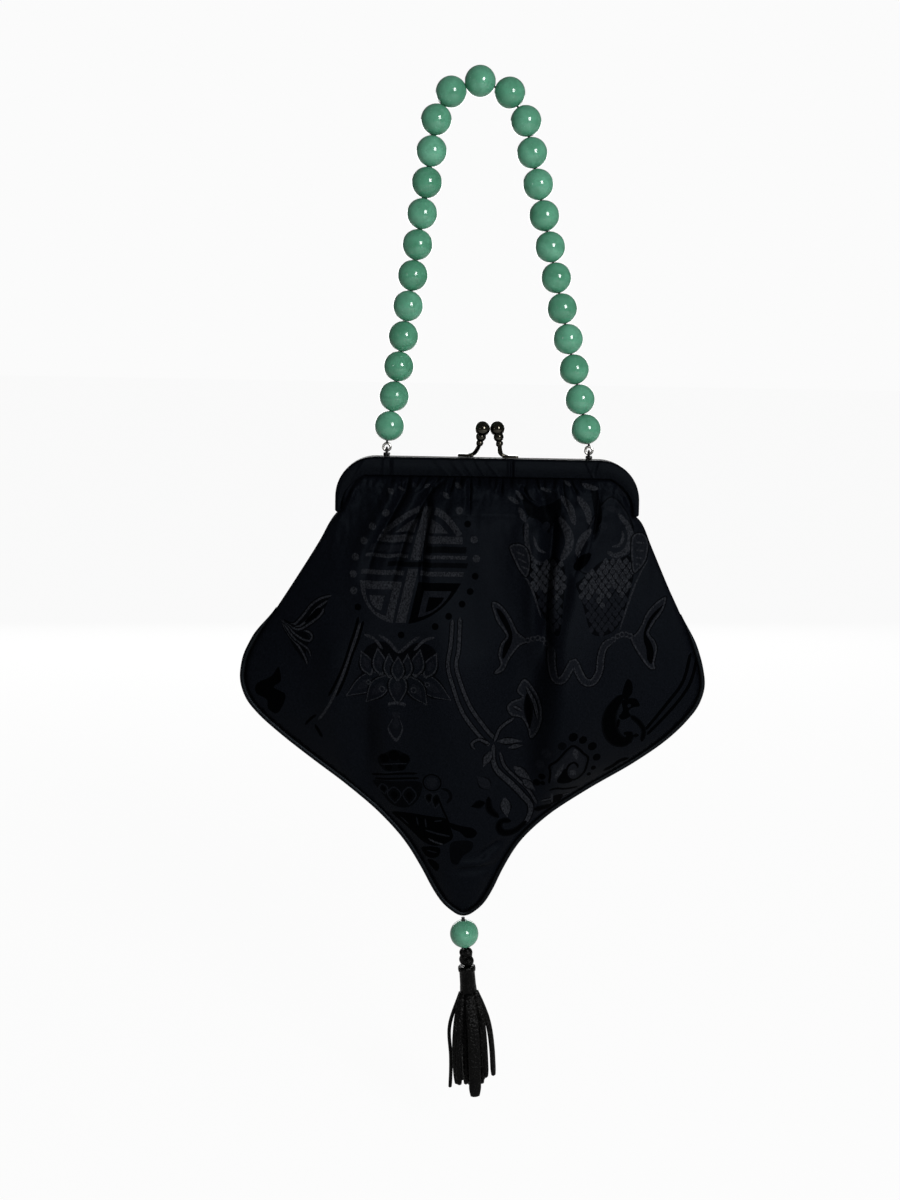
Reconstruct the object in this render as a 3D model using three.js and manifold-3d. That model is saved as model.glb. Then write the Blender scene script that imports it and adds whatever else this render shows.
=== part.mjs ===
// A small evening bag: a gathered damask pouch in a cloth-covered snap frame, carried by a string of
// green stone beads, with piping round its lower edge and a bead and a leather tassel at its point.
// Millimetres. +Z is up and the front faces -Y. The origin is the underside of the top bead, where a
// hand or a hook holds the bag.
import * as THREE from "three";
import { mergeVertices } from "three/addons/utils/BufferGeometryUtils.js";
import Module from "manifold-3d";

const wasm = await Module();
wasm.setup();

// Driving sizes

const gap = 0.3; // clearance between neighbouring pieces

const beadDiameter = 11.7;
const beadHoleRadius = 0.9;
const threadRadius = 0.5;
const beadsOverHand = 2; // on each side of the top bead
const beadsPerStrand = 10; // below those, on each side
const archRadius = 17.6; // of the bead centres over the hand
const footLean = THREE.MathUtils.degToRad(10.8); // slope of the strands where they reach the frame
const hangRight = 5.7; // the frame's middle hangs this far right of the held point
const loopsBehind = 2.9; // the loops stand on the frame's back half, this far behind its middle

const threadTail = 0.5; // bare thread below the last bead
const ringRadius = 1.45;
const ringWireRadius = 0.42;
const loopWireRadius = 0.45;
const loopHeight = 3.2; // to the middle of the wire at the loop's crown
const loopHalfWidth = 1.3;
const loopFoot = { width: 2.6, depth: 4.4, thickness: 0.7 };

const frameWidth = 121;
const frameCorner = 14;
const frameBand = 8.5; // height of the band that shows above the gathers
const frameArm = 21.5; // from the frame's top to the ends of its arms
const armTip = 2.2; // width of an arm at its end
const bandStraight = 49; // half the length of the band's straight lower edge
const bandBend = { x: 58.5, drop: 13 }; // pulls the band's lower edge round into the arm
const frameWall = 1.5;
const frameGroove = 2.3; // holds the cloth's edge
const layerOverlap = 0.1; // the frame's layers run into each other to join as one piece

const pinRadius = 1.1;
const pinHead = { radius: 1.9, thickness: 0.8 };
const pinDrop = 18.3;
const pinLength = 3.6; // of the shank inside the arms

const claspStrip = { from: 5.8, to: 12, width: 3.4, thickness: 0.8 };
const claspStemRadius = 0.9;

const clothThickness = 1.3;
const rowSpacing = 8;
const clothColumns = 26;
const crown = 2.4; // how squarely the cloth swells between its edges
const pipingRadius = 1;
const pipingClear = 0.5; // between the cloth's edge and the piping
const pipingStart = 9; // the section where the piping begins, at each side

const tasselLean = THREE.MathUtils.degToRad(5);
const tasselCordShows = 0.8; // between the piping and the bead

// The pouch, section by section from its top edge in the frame to its point, measured down from the
// frame's top and across from its middle. Tuck is the flat margin at each side, edge is how far the
// cloth's inner face lies from the middle plane there, and depth is how far it swells beyond that.
const sections = [
  { drop: 4.5, left: -46, right: 46, tuck: 4, edge: 2.3, depth: 0 },
  { drop: 8.5, left: -52.6, right: 52.6, tuck: 4.8, edge: 2.3, depth: 0 },
  { drop: 10, left: -54.2, right: 54.2, tuck: 4.6, edge: 2.3, depth: 1 },
  { drop: 14, left: -57.1, right: 57.1, tuck: 2.8, edge: 2.3, depth: 5 },
  { drop: 18, left: -58.1, right: 58.1, tuck: 1.5, edge: 2.3, depth: 8 },
  { drop: 21.8, left: -58.4, right: 58.4, tuck: 0.9, edge: 2.2, depth: 9.8 },
  { drop: 25.5, left: -61.2, right: 61.6, tuck: 0.7, edge: 1.6, depth: 11.2 },
  { drop: 34, left: -66.8, right: 66.4, tuck: 0.5, edge: 0.7, depth: 13.4 },
  { drop: 50, left: -76.6, right: 73.6, tuck: 0.5, edge: 0.2, depth: 16.2 },
  { drop: 66, left: -86.8, right: 81.2, tuck: 0.5, edge: 0.2, depth: 17.6 },
  { drop: 76, left: -92.8, right: 84.8, tuck: 0.5, edge: 0.2, depth: 17.8 },
  { drop: 84, left: -96.3, right: 87.3, tuck: 0.5, edge: 0.2, depth: 17.6 },
  { drop: 91, left: -97.2, right: 88.4, tuck: 0.5, edge: 0.2, depth: 17.2 },
  { drop: 98, left: -95.4, right: 86.7, tuck: 0.5, edge: 0.2, depth: 16.6 },
  { drop: 104, left: -91, right: 82.7, tuck: 0.5, edge: 0.2, depth: 15.9 },
  { drop: 112, left: -82.3, right: 75.1, tuck: 0.5, edge: 0.2, depth: 14.8 },
  { drop: 122, left: -69.7, right: 61.9, tuck: 0.5, edge: 0.2, depth: 13.2 },
  { drop: 134, left: -53.8, right: 42.7, tuck: 0.5, edge: 0.2, depth: 11.1 },
  { drop: 146, left: -39.9, right: 25.9, tuck: 0.5, edge: 0.2, depth: 8.9 },
  { drop: 158, left: -29.3, right: 14.4, tuck: 0.5, edge: 0.2, depth: 6.8 },
  { drop: 170, left: -21.9, right: 7.6, tuck: 0.5, edge: 0.2, depth: 4.8 },
  { drop: 179, left: -17.1, right: 3.6, tuck: 0.5, edge: 0.2, depth: 3.2 },
  { drop: 185, left: -12.9, right: 0, tuck: 0.5, edge: 0.2, depth: 1.6 },
  { drop: 188.4, left: -8.6, right: -4, tuck: 0.4, edge: 0.2, depth: 0.5 },
  { drop: 189.8, left: -6.8, right: -5.8, tuck: 0.3, edge: 0.2, depth: 0 },
];

// The main folds that run down from the gathers: where each starts and ends across the pouch, the
// drops it runs between, half its width, and how far it stands out, or in where that is negative.
const folds = [
  { top: -33, foot: -48, from: 9, to: 48, width: 4.5, height: -2.2 },
  { top: -28, foot: -42, from: 9, to: 52, width: 4.5, height: 1.6 },
  { top: -23, foot: -36, from: 9, to: 56, width: 4.5, height: -2.4 },
  { top: 18, foot: 16, from: 10, to: 70, width: 6, height: 1.4 },
  { top: 25.5, foot: 24, from: 9, to: 84, width: 5.5, height: -4 },
  { top: 35, foot: 33, from: 9, to: 66, width: 6, height: 1.6 },
  { top: 46, foot: 42, from: 9, to: 36, width: 4.5, height: -1.8 },
];

// The tassel's knot, its collar and the outer form of its skirt, as radii at drops below each one's top.
const knot = [
  { drop: 0, radius: 1.4 },
  { drop: 0.8, radius: 2.5 },
  { drop: 2.7, radius: 2.8 },
  { drop: 4.4, radius: 2.4 },
  { drop: 6, radius: 3 },
  { drop: 7.6, radius: 2.4 },
];
const collar = [
  { drop: 0, radius: 3.4 },
  { drop: 1.9, radius: 3.6 },
  { drop: 2.6, radius: 3.3 },
  { drop: 10.4, radius: 3.5 },
];
const skirt = [
  { drop: 0, radius: 3.6 },
  { drop: 2, radius: 5.2 },
  { drop: 6, radius: 7.2 },
  { drop: 12, radius: 8.8 },
  { drop: 22, radius: 9.8 },
  { drop: 37, radius: 10.2 },
  { drop: 44, radius: 9.6 },
  { drop: 46.5, radius: 6 },
];

// A clasp knob from its strip up: the stem's bends, and the balls threaded on it.
const claspStem = [
  { x: -7.2, y: 2.9, z: 1.3 },
  { x: -5.4, y: 2.8, z: 1.6 },
  { x: -4.5, y: 2.2, z: 3 },
  { x: -3.9, y: 0.8, z: 5.8 },
  { x: -3.6, y: 0, z: 8.4 },
  { x: -3.15, y: -1.1, z: 11.8 },
];
const claspBalls = [
  { bend: 3, radius: 1.45 },
  { bend: 4, radius: 2.05 },
  { bend: 5, radius: 2.7 },
];

const beadRadius = beadDiameter / 2;
const beadPitch = beadDiameter + gap;

// Finishes

const finish = (colour, roughness, metalness) =>
  new THREE.MeshStandardMaterial({ color: colour, roughness, metalness });
const greenStone = finish(0x4f9474, 0.2, 0);
const blackThread = finish(0x0c0c0d, 0.8, 0);
const damask = finish(0x11131a, 0.55, 0);
const satinPiping = finish(0x0a0a0c, 0.4, 0);
const blackLeather = finish(0x100f0f, 0.6, 0);
const darkMetal = finish(0x3a362c, 0.25, 1);
const silver = finish(0xc8c8c6, 0.2, 1);
const blackMetal = finish(0x151515, 0.45, 1);

// Shape helpers

function solidOf(geometry) {
  const bare = geometry.clone();
  bare.deleteAttribute("normal");
  bare.deleteAttribute("uv");
  const merged = mergeVertices(bare, 1e-4);
  return new wasm.Manifold(
    new wasm.Mesh({
      numProp: 3,
      vertProperties: merged.attributes.position.array,
      triVerts: new Uint32Array(merged.index.array),
    }),
  );
}

function geometryOf(solid) {
  const mesh = solid.getMesh();
  return new THREE.BufferGeometry()
    .setAttribute("position", new THREE.BufferAttribute(mesh.vertProperties, 3))
    .setIndex(new THREE.BufferAttribute(mesh.triVerts, 1));
}

const join = (...pieces) => geometryOf(pieces.map(solidOf).reduce((a, b) => a.add(b)));
const cut = (piece, tool) => geometryOf(solidOf(piece).subtract(solidOf(tool)));

// A line through given points, stepped so that each step ends on a point.
class Route extends THREE.Curve {
  constructor(points) {
    super();
    this.points = points;
  }
  getPoint(t, target = new THREE.Vector3()) {
    const along = t * (this.points.length - 1);
    const i = Math.min(Math.floor(along), this.points.length - 2);
    return target.lerpVectors(this.points[i], this.points[i + 1], along - i);
  }
  getUtoTmapping(u) {
    return u;
  }
}

function tube(points, radius, sides = 8) {
  const corners = Array.from({ length: sides }, (_, i) => {
    const turn = (2 * Math.PI * i) / sides;
    return new THREE.Vector2(radius * Math.cos(turn), radius * Math.sin(turn));
  });
  return new THREE.ExtrudeGeometry(new THREE.Shape(corners), {
    steps: points.length - 1,
    extrudePath: new Route(points),
  });
}

// A flat shape standing in the XZ plane, as thick as the two y values are apart.
function slab(shape, y0, y1) {
  const [front, back] = [Math.min(y0, y1), Math.max(y0, y1)];
  return new THREE.ExtrudeGeometry(shape, { depth: back - front, bevelEnabled: false, curveSegments: 8 })
    .rotateX(Math.PI / 2)
    .translate(0, back, 0);
}

function place(parent, name, geometry, material) {
  const mesh = new THREE.Mesh(geometry, material);
  mesh.name = name;
  parent.add(mesh);
  return mesh;
}

// Beads: drilled balls, with the hole along Y

function drilledBead() {
  const steps = 6;
  const mouth = Math.acos(beadHoleRadius / beadRadius);
  const profile = Array.from({ length: steps + 1 }, (_, i) => {
    const angle = -mouth + (2 * mouth * i) / steps;
    return new THREE.Vector2(beadRadius * Math.cos(angle), beadRadius * Math.sin(angle));
  });
  profile.push(profile[0].clone());
  return new THREE.LatheGeometry(profile, 12);
}

// The handle's line, in its own upright plane: an arch over the hand, then two strands that spread a
// little more the lower they hang. Each bead sits on a straight stretch of thread.

const archStep = 2 * Math.asin(beadPitch / (2 * archRadius));
const shoulderTurn = beadsOverHand * archStep;
const shoulderLean = Math.PI / 2 - shoulderTurn;
const strandBend = (footLean - shoulderLean) / (beadsPerStrand * beadPitch);

function beadSeat(index) {
  const side = Math.sign(index) || 1;
  const count = Math.abs(index);
  const turn = Math.min(count, beadsOverHand) * archStep;
  const at = new THREE.Vector3(
    archRadius * Math.sin(turn),
    0,
    beadRadius - archRadius * (1 - Math.cos(turn)),
  );
  let lean = Math.PI / 2 - turn;
  if (count > beadsOverHand) {
    lean = shoulderLean + strandBend * beadPitch * (count - beadsOverHand);
    at.x += (Math.cos(shoulderLean) - Math.cos(lean)) / strandBend;
    at.z -= (Math.sin(lean) - Math.sin(shoulderLean)) / strandBend;
  }
  const along = new THREE.Vector3(Math.sin(lean), 0, -side * Math.cos(lean));
  at.x *= side;
  return { at, along };
}

// Where the thread bends between two beads: the holes of neighbours point at the same place.
function threadBend(a, b) {
  const cross = a.along.x * b.along.z - a.along.z * b.along.x;
  const between = new THREE.Vector3().subVectors(b.at, a.at);
  const reach = (between.x * b.along.z - between.z * b.along.x) / cross;
  return a.at.clone().addScaledVector(a.along, reach);
}

const handleEnd = beadsOverHand + beadsPerStrand;
const seats = Array.from({ length: 2 * handleEnd + 1 }, (_, i) => beadSeat(i - handleEnd));
const tailReach = beadRadius + threadTail;
const threadRoute = [
  seats[0].at.clone().addScaledVector(seats[0].along, -tailReach),
  ...seats.slice(1).map((seat, i) => threadBend(seats[i], seat)),
  seats.at(-1).at.clone().addScaledVector(seats.at(-1).along, tailReach),
];

// The whole handle leans so that the frame hangs right of the held point and the loops behind it.
const footZ = threadRoute[0].z;
const handleLean = new THREE.Matrix4().set(
  1, 0, hangRight / footZ, 0,
  0, 1, loopsBehind / footZ, 0,
  0, 0, 1, 0,
  0, 0, 0, 1,
);
for (const point of threadRoute) point.applyMatrix4(handleLean);
for (const seat of seats) {
  seat.at.applyMatrix4(handleLean);
  seat.along.transformDirection(handleLean);
}

const bag = new THREE.Group();
const bead = drilledBead();
const alongHole = new THREE.Vector3(0, 1, 0);

seats.forEach((seat, i) => {
  const mesh = place(bag, `bead_${String(i + 1).padStart(2, "0")}`, bead, greenStone);
  mesh.position.copy(seat.at);
  mesh.quaternion.setFromUnitVectors(alongHole, seat.along);
});
place(bag, "bead_thread", tube(threadRoute, threadRadius, 6), blackThread);

// A ring hangs on each end of the thread and through a loop on the frame.

const ringOuter = ringRadius + ringWireRadius;
const ringZ = footZ - gap - ringOuter;
const loopCrownZ = ringZ - ringRadius + ringWireRadius + gap + loopWireRadius;
const frameTopZ = loopCrownZ - loopHeight;

function frameLoop() {
  const arc = Array.from({ length: 7 }, (_, i) => {
    const turn = (Math.PI * i) / 6;
    return new THREE.Vector3(
      0,
      -loopHalfWidth * Math.cos(turn),
      loopHeight - loopHalfWidth * (1 - Math.sin(turn)),
    );
  });
  const sink = loopFoot.thickness / 2 + gap;
  const foot = (point) => point.clone().setZ(sink);
  const wire = tube([foot(arc[0]), ...arc, foot(arc.at(-1))], loopWireRadius, 6);
  const plate = new THREE.BoxGeometry(loopFoot.width, loopFoot.depth, loopFoot.thickness);
  return join(wire, plate.translate(0, 0, gap + loopFoot.thickness / 2));
}

const ring = new THREE.TorusGeometry(ringRadius, ringWireRadius, 6, 16).rotateX(Math.PI / 2);
const loop = frameLoop();
for (const [side, end] of [["left", threadRoute[0]], ["right", threadRoute.at(-1)]]) {
  place(bag, `end_ring_${side}`, ring, silver).position.set(end.x, end.y, ringZ);
  place(bag, `frame_loop_${side}`, loop, blackMetal).position.set(end.x, end.y, frameTopZ);
}

// Everything below hangs from the frame: x across from its middle, z down from its top.

const hung = new THREE.Group();
hung.position.set(hangRight, 0, frameTopZ);
bag.add(hung);

// Frame: two halves, each an outer wall, a web and an inner wall, with a groove between the walls

const halfWidth = frameWidth / 2;
const frameInner = gap;
const grooveInner = frameInner + frameWall;
const grooveOuter = grooveInner + frameGroove;
const frameOuter = grooveOuter + frameWall;

function frameOutline(inset) {
  const x = halfWidth - inset;
  const radius = frameCorner - inset;
  const shape = new THREE.Shape();
  shape.moveTo(-x, -frameArm);
  shape.lineTo(-x, -frameCorner);
  shape.absarc(-x + radius, -frameCorner, radius, Math.PI, Math.PI / 2, true);
  shape.lineTo(x - radius, -inset);
  shape.absarc(x - radius, -frameCorner, radius, Math.PI / 2, 0, true);
  shape.lineTo(x, -frameArm);
  return shape;
}

function bandShape() {
  const tip = halfWidth - armTip;
  const shape = frameOutline(0);
  shape.lineTo(tip, -frameArm);
  shape.quadraticCurveTo(bandBend.x, -bandBend.drop, bandStraight, -frameBand);
  shape.lineTo(-bandStraight, -frameBand);
  shape.quadraticCurveTo(-bandBend.x, -bandBend.drop, -tip, -frameArm);
  return shape;
}

function webShape() {
  const shape = frameOutline(0);
  const inside = frameOutline(frameWall).getPoints(8).reverse();
  for (const point of inside) shape.lineTo(point.x, point.y);
  return shape;
}

function frameHalf(side) {
  const half = join(
    slab(bandShape(), side * frameInner, side * grooveInner),
    slab(webShape(), side * (grooveInner - layerOverlap), side * (grooveOuter + layerOverlap)),
    slab(bandShape(), side * grooveOuter, side * frameOuter),
  );
  const seat = new THREE.CylinderGeometry(pinRadius + gap, pinRadius + gap, frameWidth + 2, 12);
  return cut(half, seat.rotateZ(Math.PI / 2).translate(0, 0, -pinDrop));
}

place(hung, "frame_front", frameHalf(-1), damask);
place(hung, "frame_back", frameHalf(1), damask);

// Hinge pins, hidden in the sides between the two halves, with their heads inside the bag

function hingePin() {
  const length = pinLength + pinHead.thickness / 2;
  const shank = new THREE.CylinderGeometry(pinRadius, pinRadius, length, 12);
  const head = new THREE.CylinderGeometry(pinHead.radius, pinHead.radius, pinHead.thickness, 12);
  shank.translate(0, -gap - length / 2, 0);
  head.translate(0, -gap - pinLength - pinHead.thickness / 2, 0);
  return join(shank, head).rotateZ(-Math.PI / 2);
}

const pin = hingePin();
place(hung, "hinge_pin_right", pin, blackMetal).position.set(halfWidth, 0, -pinDrop);
const leftPin = place(hung, "hinge_pin_left", pin, blackMetal);
leftPin.position.set(-halfWidth, 0, -pinDrop);
leftPin.rotation.z = Math.PI;

// Clasp: two knobs that lean past each other, one on each half of the frame

function claspKnob() {
  const bends = claspStem.map((p) => new THREE.Vector3(p.x, p.y, p.z));
  const length = claspStrip.to - claspStrip.from;
  const strip = new THREE.BoxGeometry(length, claspStrip.width, claspStrip.thickness);
  strip.translate(-claspStrip.from - length / 2, claspStem[0].y, gap + claspStrip.thickness / 2);
  const balls = claspBalls.map(({ bend, radius }) =>
    new THREE.SphereGeometry(radius, 12, 8).rotateX(Math.PI / 2).translate(...bends[bend].toArray()),
  );
  return join(tube(bends, claspStemRadius), strip, ...balls);
}

const knob = claspKnob();
place(hung, "clasp_knob_left", knob, darkMetal);
place(hung, "clasp_knob_right", knob, darkMetal).rotation.z = Math.PI;

// Pouch: two swelling sheets of cloth whose top edges stand in the frame's grooves

const edgeCurve = (side) =>
  new THREE.CatmullRomCurve3(sections.map((s) => new THREE.Vector3(s[side], 0, -s.drop)));
const leftEdge = edgeCurve("left");
const rightEdge = edgeCurve("right");
const swell = new THREE.CatmullRomCurve3(
  sections.map((s) => new THREE.Vector3(s.tuck, s.edge, s.depth)),
  false,
  "catmullrom",
);

// The rows of the cloth, as places along the table: enough of them for its taller sections.
const clothRows = sections.slice(1).flatMap((section, i) => {
  const steps = Math.ceil((section.drop - sections[i].drop) / rowSpacing);
  return Array.from({ length: steps }, (_, n) => (i + n / steps) / (sections.length - 1));
});
clothRows.push(1);

function foldHeight(x, drop) {
  return folds.reduce((sum, fold) => {
    const down = (drop - fold.from) / (fold.to - fold.from);
    if (down <= 0 || down >= 1) return sum;
    const off = (x - THREE.MathUtils.lerp(fold.top, fold.foot, down)) / fold.width;
    const fade = THREE.MathUtils.smoothstep(down, 0, 0.2) * (1 - THREE.MathUtils.smoothstep(down, 0.3, 1));
    return sum + fold.height * fade * Math.exp(-off * off);
  }, 0);
}

// Distance of the cloth's inner face from the bag's middle plane, along one row.
function clothHeight(t, across, x, drop) {
  const { x: tuck, y: edge, z: depth } = swell.getPoint(t);
  const half = leftEdge.getPoint(t).distanceTo(rightEdge.getPoint(t)) / 2;
  const fromSide = half * (1 - Math.abs(across));
  const inwards = THREE.MathUtils.clamp((fromSide - tuck) / (half - tuck), 0, 1);
  const rise = 1 - (1 - inwards) ** crown;
  return edge + depth * rise + foldHeight(x, drop) * rise;
}

function clothFace(side, thickness) {
  return clothRows.map((t) => {
    const from = leftEdge.getPoint(t);
    const to = rightEdge.getPoint(t);
    return Array.from({ length: clothColumns + 1 }, (_, i) => {
      const share = i / clothColumns;
      const point = new THREE.Vector3().lerpVectors(from, to, share);
      const height = clothHeight(t, 2 * share - 1, -side * point.x, -point.z);
      return point.setY(side * (height + thickness));
    });
  });
}

// A closed sheet between two grids of points, first facing -Y and then +Y.
function sheetBetween(front, back) {
  const rows = front.length;
  const columns = front[0].length;
  const points = [...front.flat(), ...back.flat()];
  const frontAt = (r, c) => r * columns + c;
  const backAt = (r, c) => rows * columns + frontAt(r, c);
  const index = [];
  const quad = (a, b, c, d) => index.push(a, b, c, a, c, d);
  for (let r = 0; r + 1 < rows; r++) {
    for (let c = 0; c + 1 < columns; c++) {
      quad(frontAt(r, c), frontAt(r + 1, c), frontAt(r + 1, c + 1), frontAt(r, c + 1));
      quad(backAt(r, c), backAt(r, c + 1), backAt(r + 1, c + 1), backAt(r + 1, c));
    }
    quad(frontAt(r, 0), backAt(r, 0), backAt(r + 1, 0), frontAt(r + 1, 0));
    const last = columns - 1;
    quad(frontAt(r, last), frontAt(r + 1, last), backAt(r + 1, last), backAt(r, last));
  }
  for (let c = 0; c + 1 < columns; c++) {
    const last = rows - 1;
    quad(frontAt(0, c), frontAt(0, c + 1), backAt(0, c + 1), backAt(0, c));
    quad(frontAt(last, c), backAt(last, c), backAt(last, c + 1), frontAt(last, c + 1));
  }
  return new THREE.BufferGeometry().setFromPoints(points).setIndex(index);
}

place(hung, "panel_front", sheetBetween(clothFace(-1, clothThickness), clothFace(-1, 0)), damask);
place(hung, "panel_back", sheetBetween(clothFace(1, 0), clothFace(1, clothThickness)), damask);

// Piping: one cord round the pouch's lower edge, just outside the seam of the two sheets

function pipingPoint(edge, t, outwards) {
  const along = edge.getTangent(t);
  const away = new THREE.Vector3(along.z, 0, -along.x).multiplyScalar(outwards);
  return edge.getPoint(t).addScaledVector(away, pipingClear + pipingRadius);
}

const pipingFrom = pipingStart / (sections.length - 1);
const pipingPlaces = clothRows.filter((t) => t >= pipingFrom && t < 1);
const point = leftEdge.getPoint(1).lerp(rightEdge.getPoint(1), 0.5);
const pipingTip = point.clone().setZ(point.z - pipingClear - pipingRadius);
const pipingRoute = [
  ...pipingPlaces.map((t) => pipingPoint(leftEdge, t, 1)),
  pipingTip,
  ...pipingPlaces.map((t) => pipingPoint(rightEdge, t, -1)).reverse(),
];
place(hung, "piping", tube(pipingRoute, pipingRadius), satinPiping);

// Tassel: a bead on a cord, a leather knot, a wrapped collar and the skirt of leather strips

const tassel = new THREE.Group();
tassel.position.copy(pipingTip).setZ(pipingTip.z - pipingRadius);
tassel.rotation.y = -tasselLean;
hung.add(tassel);

const beadTop = -gap - tasselCordShows;
const knotTop = beadTop - beadDiameter - gap;
const collarTop = knotTop - knot.at(-1).drop - gap;
const skirtTop = collarTop - collar.at(-1).drop - gap;

// A solid turned about the tassel's own line, from one of its tables.
function turned(table, sides) {
  const profile = table.map(({ drop, radius }) => new THREE.Vector2(radius, -drop)).reverse();
  const bottom = new THREE.Vector2(0, profile[0].y);
  const top = new THREE.Vector2(0, 0);
  return new THREE.LatheGeometry([bottom, ...profile, top], sides).rotateX(Math.PI / 2);
}

const tasselBead = place(tassel, "tassel_bead", bead, greenStone);
tasselBead.position.z = beadTop - beadRadius;
tasselBead.rotation.x = Math.PI / 2;

const cordTop = new THREE.Vector3(0, 0, -gap);
const cordEnd = new THREE.Vector3(0, 0, knotTop + gap);
place(tassel, "tassel_cord", tube([cordTop, cordEnd], threadRadius, 6), blackThread);
place(tassel, "tassel_knot", turned(knot, 12), blackLeather).position.z = knotTop;
place(tassel, "tassel_collar", turned(collar, 14), blackLeather).position.z = collarTop;
place(tassel, "tassel_skirt", turned(skirt, 14), blackLeather).position.z = skirtTop;

export default bag;
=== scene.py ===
import math

import bmesh
import bpy
import numpy as np
from mathutils import Matrix, Vector, noise
from mathutils.geometry import delaunay_2d_cdt


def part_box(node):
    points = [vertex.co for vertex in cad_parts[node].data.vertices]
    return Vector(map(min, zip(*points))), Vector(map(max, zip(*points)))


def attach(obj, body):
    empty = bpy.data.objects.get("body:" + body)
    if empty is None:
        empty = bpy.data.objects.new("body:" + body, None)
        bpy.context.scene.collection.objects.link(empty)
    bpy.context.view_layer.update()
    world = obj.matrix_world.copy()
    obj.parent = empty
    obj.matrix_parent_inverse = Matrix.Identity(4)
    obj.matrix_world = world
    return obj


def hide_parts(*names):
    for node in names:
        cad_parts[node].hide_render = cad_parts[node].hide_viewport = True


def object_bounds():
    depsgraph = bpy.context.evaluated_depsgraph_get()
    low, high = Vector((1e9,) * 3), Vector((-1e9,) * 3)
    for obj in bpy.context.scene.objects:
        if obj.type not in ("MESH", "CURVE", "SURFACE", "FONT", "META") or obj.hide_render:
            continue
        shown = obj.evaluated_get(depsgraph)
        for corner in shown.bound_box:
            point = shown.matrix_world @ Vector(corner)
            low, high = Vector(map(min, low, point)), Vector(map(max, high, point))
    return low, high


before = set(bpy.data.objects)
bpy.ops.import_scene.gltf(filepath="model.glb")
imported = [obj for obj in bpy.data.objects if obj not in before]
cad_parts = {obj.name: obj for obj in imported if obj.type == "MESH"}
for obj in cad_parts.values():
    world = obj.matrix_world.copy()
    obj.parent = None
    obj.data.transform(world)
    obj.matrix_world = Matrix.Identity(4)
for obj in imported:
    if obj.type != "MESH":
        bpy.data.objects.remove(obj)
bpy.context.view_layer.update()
mm = 0.001  # lengths below are millimetres in the part's frame, and meshes are metres


# places read off the frame

def nodeBox(node):
    low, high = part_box(node)
    return np.array(low) / mm, np.array(high) / mm


def nodeMid(node):
    low, high = nodeBox(node)
    return (low + high) / 2


frameLow, frameHigh = nodeBox("frame_front")
frameMid = (frameLow[0] + frameHigh[0]) / 2
frameTop = frameHigh[2]
beadNodes = sorted(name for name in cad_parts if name.startswith("bead_") and name[5:].isdigit())
beadSeats = np.array([nodeMid(name) for name in beadNodes])


# camera

camera = dict(lens=45.93, pitch=9.0, roll=1.0, at=(-8.4, -612.4, -99.2), clip=(0.01, 50))


def makeCamera():
    pitch, roll = math.radians(camera["pitch"]), math.radians(camera["roll"])
    ahead = Vector((0, math.cos(pitch), -math.sin(pitch)))
    level = Vector((0, math.sin(pitch), math.cos(pitch)))
    across = Vector((1, 0, 0))
    right = across * math.cos(roll) + level * math.sin(roll)
    up = level * math.cos(roll) - across * math.sin(roll)
    data = bpy.data.cameras.new("photoCamera")
    data.lens = camera["lens"]
    data.clip_start, data.clip_end = camera["clip"]
    made = bpy.data.objects.new("photoCamera", data)
    bpy.context.collection.objects.link(made)
    turn = Matrix((right, up, -ahead)).transposed().to_4x4()
    made.matrix_world = Matrix.Translation(Vector(camera["at"]) * mm) @ turn
    bpy.context.scene.camera = made


makeCamera()
print("camera set")


# small tools for meshes

def meshPiece(name, points, faces, materials, faceMaterials=None, smooth=True, edges=()):
    mesh = bpy.data.meshes.new(name)
    mesh.from_pydata([tuple(p) for p in np.asarray(points) * mm], edges, [tuple(map(int, f)) for f in faces])
    for material in materials:
        mesh.materials.append(material)
    if faceMaterials is not None:
        mesh.polygons.foreach_set("material_index", np.asarray(faceMaterials, dtype=np.int32))
    mesh.polygons.foreach_set("use_smooth", np.full(len(mesh.polygons), smooth))
    mesh.update()
    made = bpy.data.objects.new(name, mesh)
    bpy.context.collection.objects.link(made)
    return made


def facingOut(piece):  # turns the faces of each closed shell outwards
    work = bmesh.new()
    work.from_mesh(piece.data)
    bmesh.ops.recalc_face_normals(work, faces=work.faces)
    work.to_mesh(piece.data)
    work.free()


def seat(piece, slot, *nodes):
    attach(piece, "root")
    if nodes:
        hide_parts(*nodes)


def smoothLine(rows, steps):  # a smooth curve through rows of numbers
    p = np.asarray(rows, dtype=float)
    p = np.vstack([2 * p[0] - p[1], p, 2 * p[-1] - p[-2]])
    t = np.linspace(0, 1, steps, endpoint=False)[:, None]
    parts = []
    for a, b, c, d in zip(p[:-3], p[1:-2], p[2:-1], p[3:]):
        bend = t**2 * (a - 2.5 * b + 2 * c - d / 2)
        parts.append(b + t * (c - a) / 2 + bend + t**3 * (1.5 * (b - c) + (d - a) / 2))
    return np.vstack([*parts, p[-2:-1]])


def bentLine(start, pull, end, steps):  # a curve between two points, drawn towards a third
    start, pull, end = (np.asarray(p, dtype=float) for p in (start, pull, end))
    t = np.linspace(0, 1, steps)[:, None]
    return (1 - t) ** 2 * start + 2 * t * (1 - t) * pull + t**2 * end


def stepsAlong(line):  # from each point to the next
    return np.linalg.norm(np.diff(line, axis=0), axis=1)


def headings(line):  # unit vectors along a line
    ahead = np.gradient(np.asarray(line, dtype=float), axis=0)
    return ahead / np.linalg.norm(ahead, axis=1)[:, None]


def leftward(line):  # unit vectors across a flat line
    ahead = headings(line)
    return np.column_stack([-ahead[:, 1], ahead[:, 0]])


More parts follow.
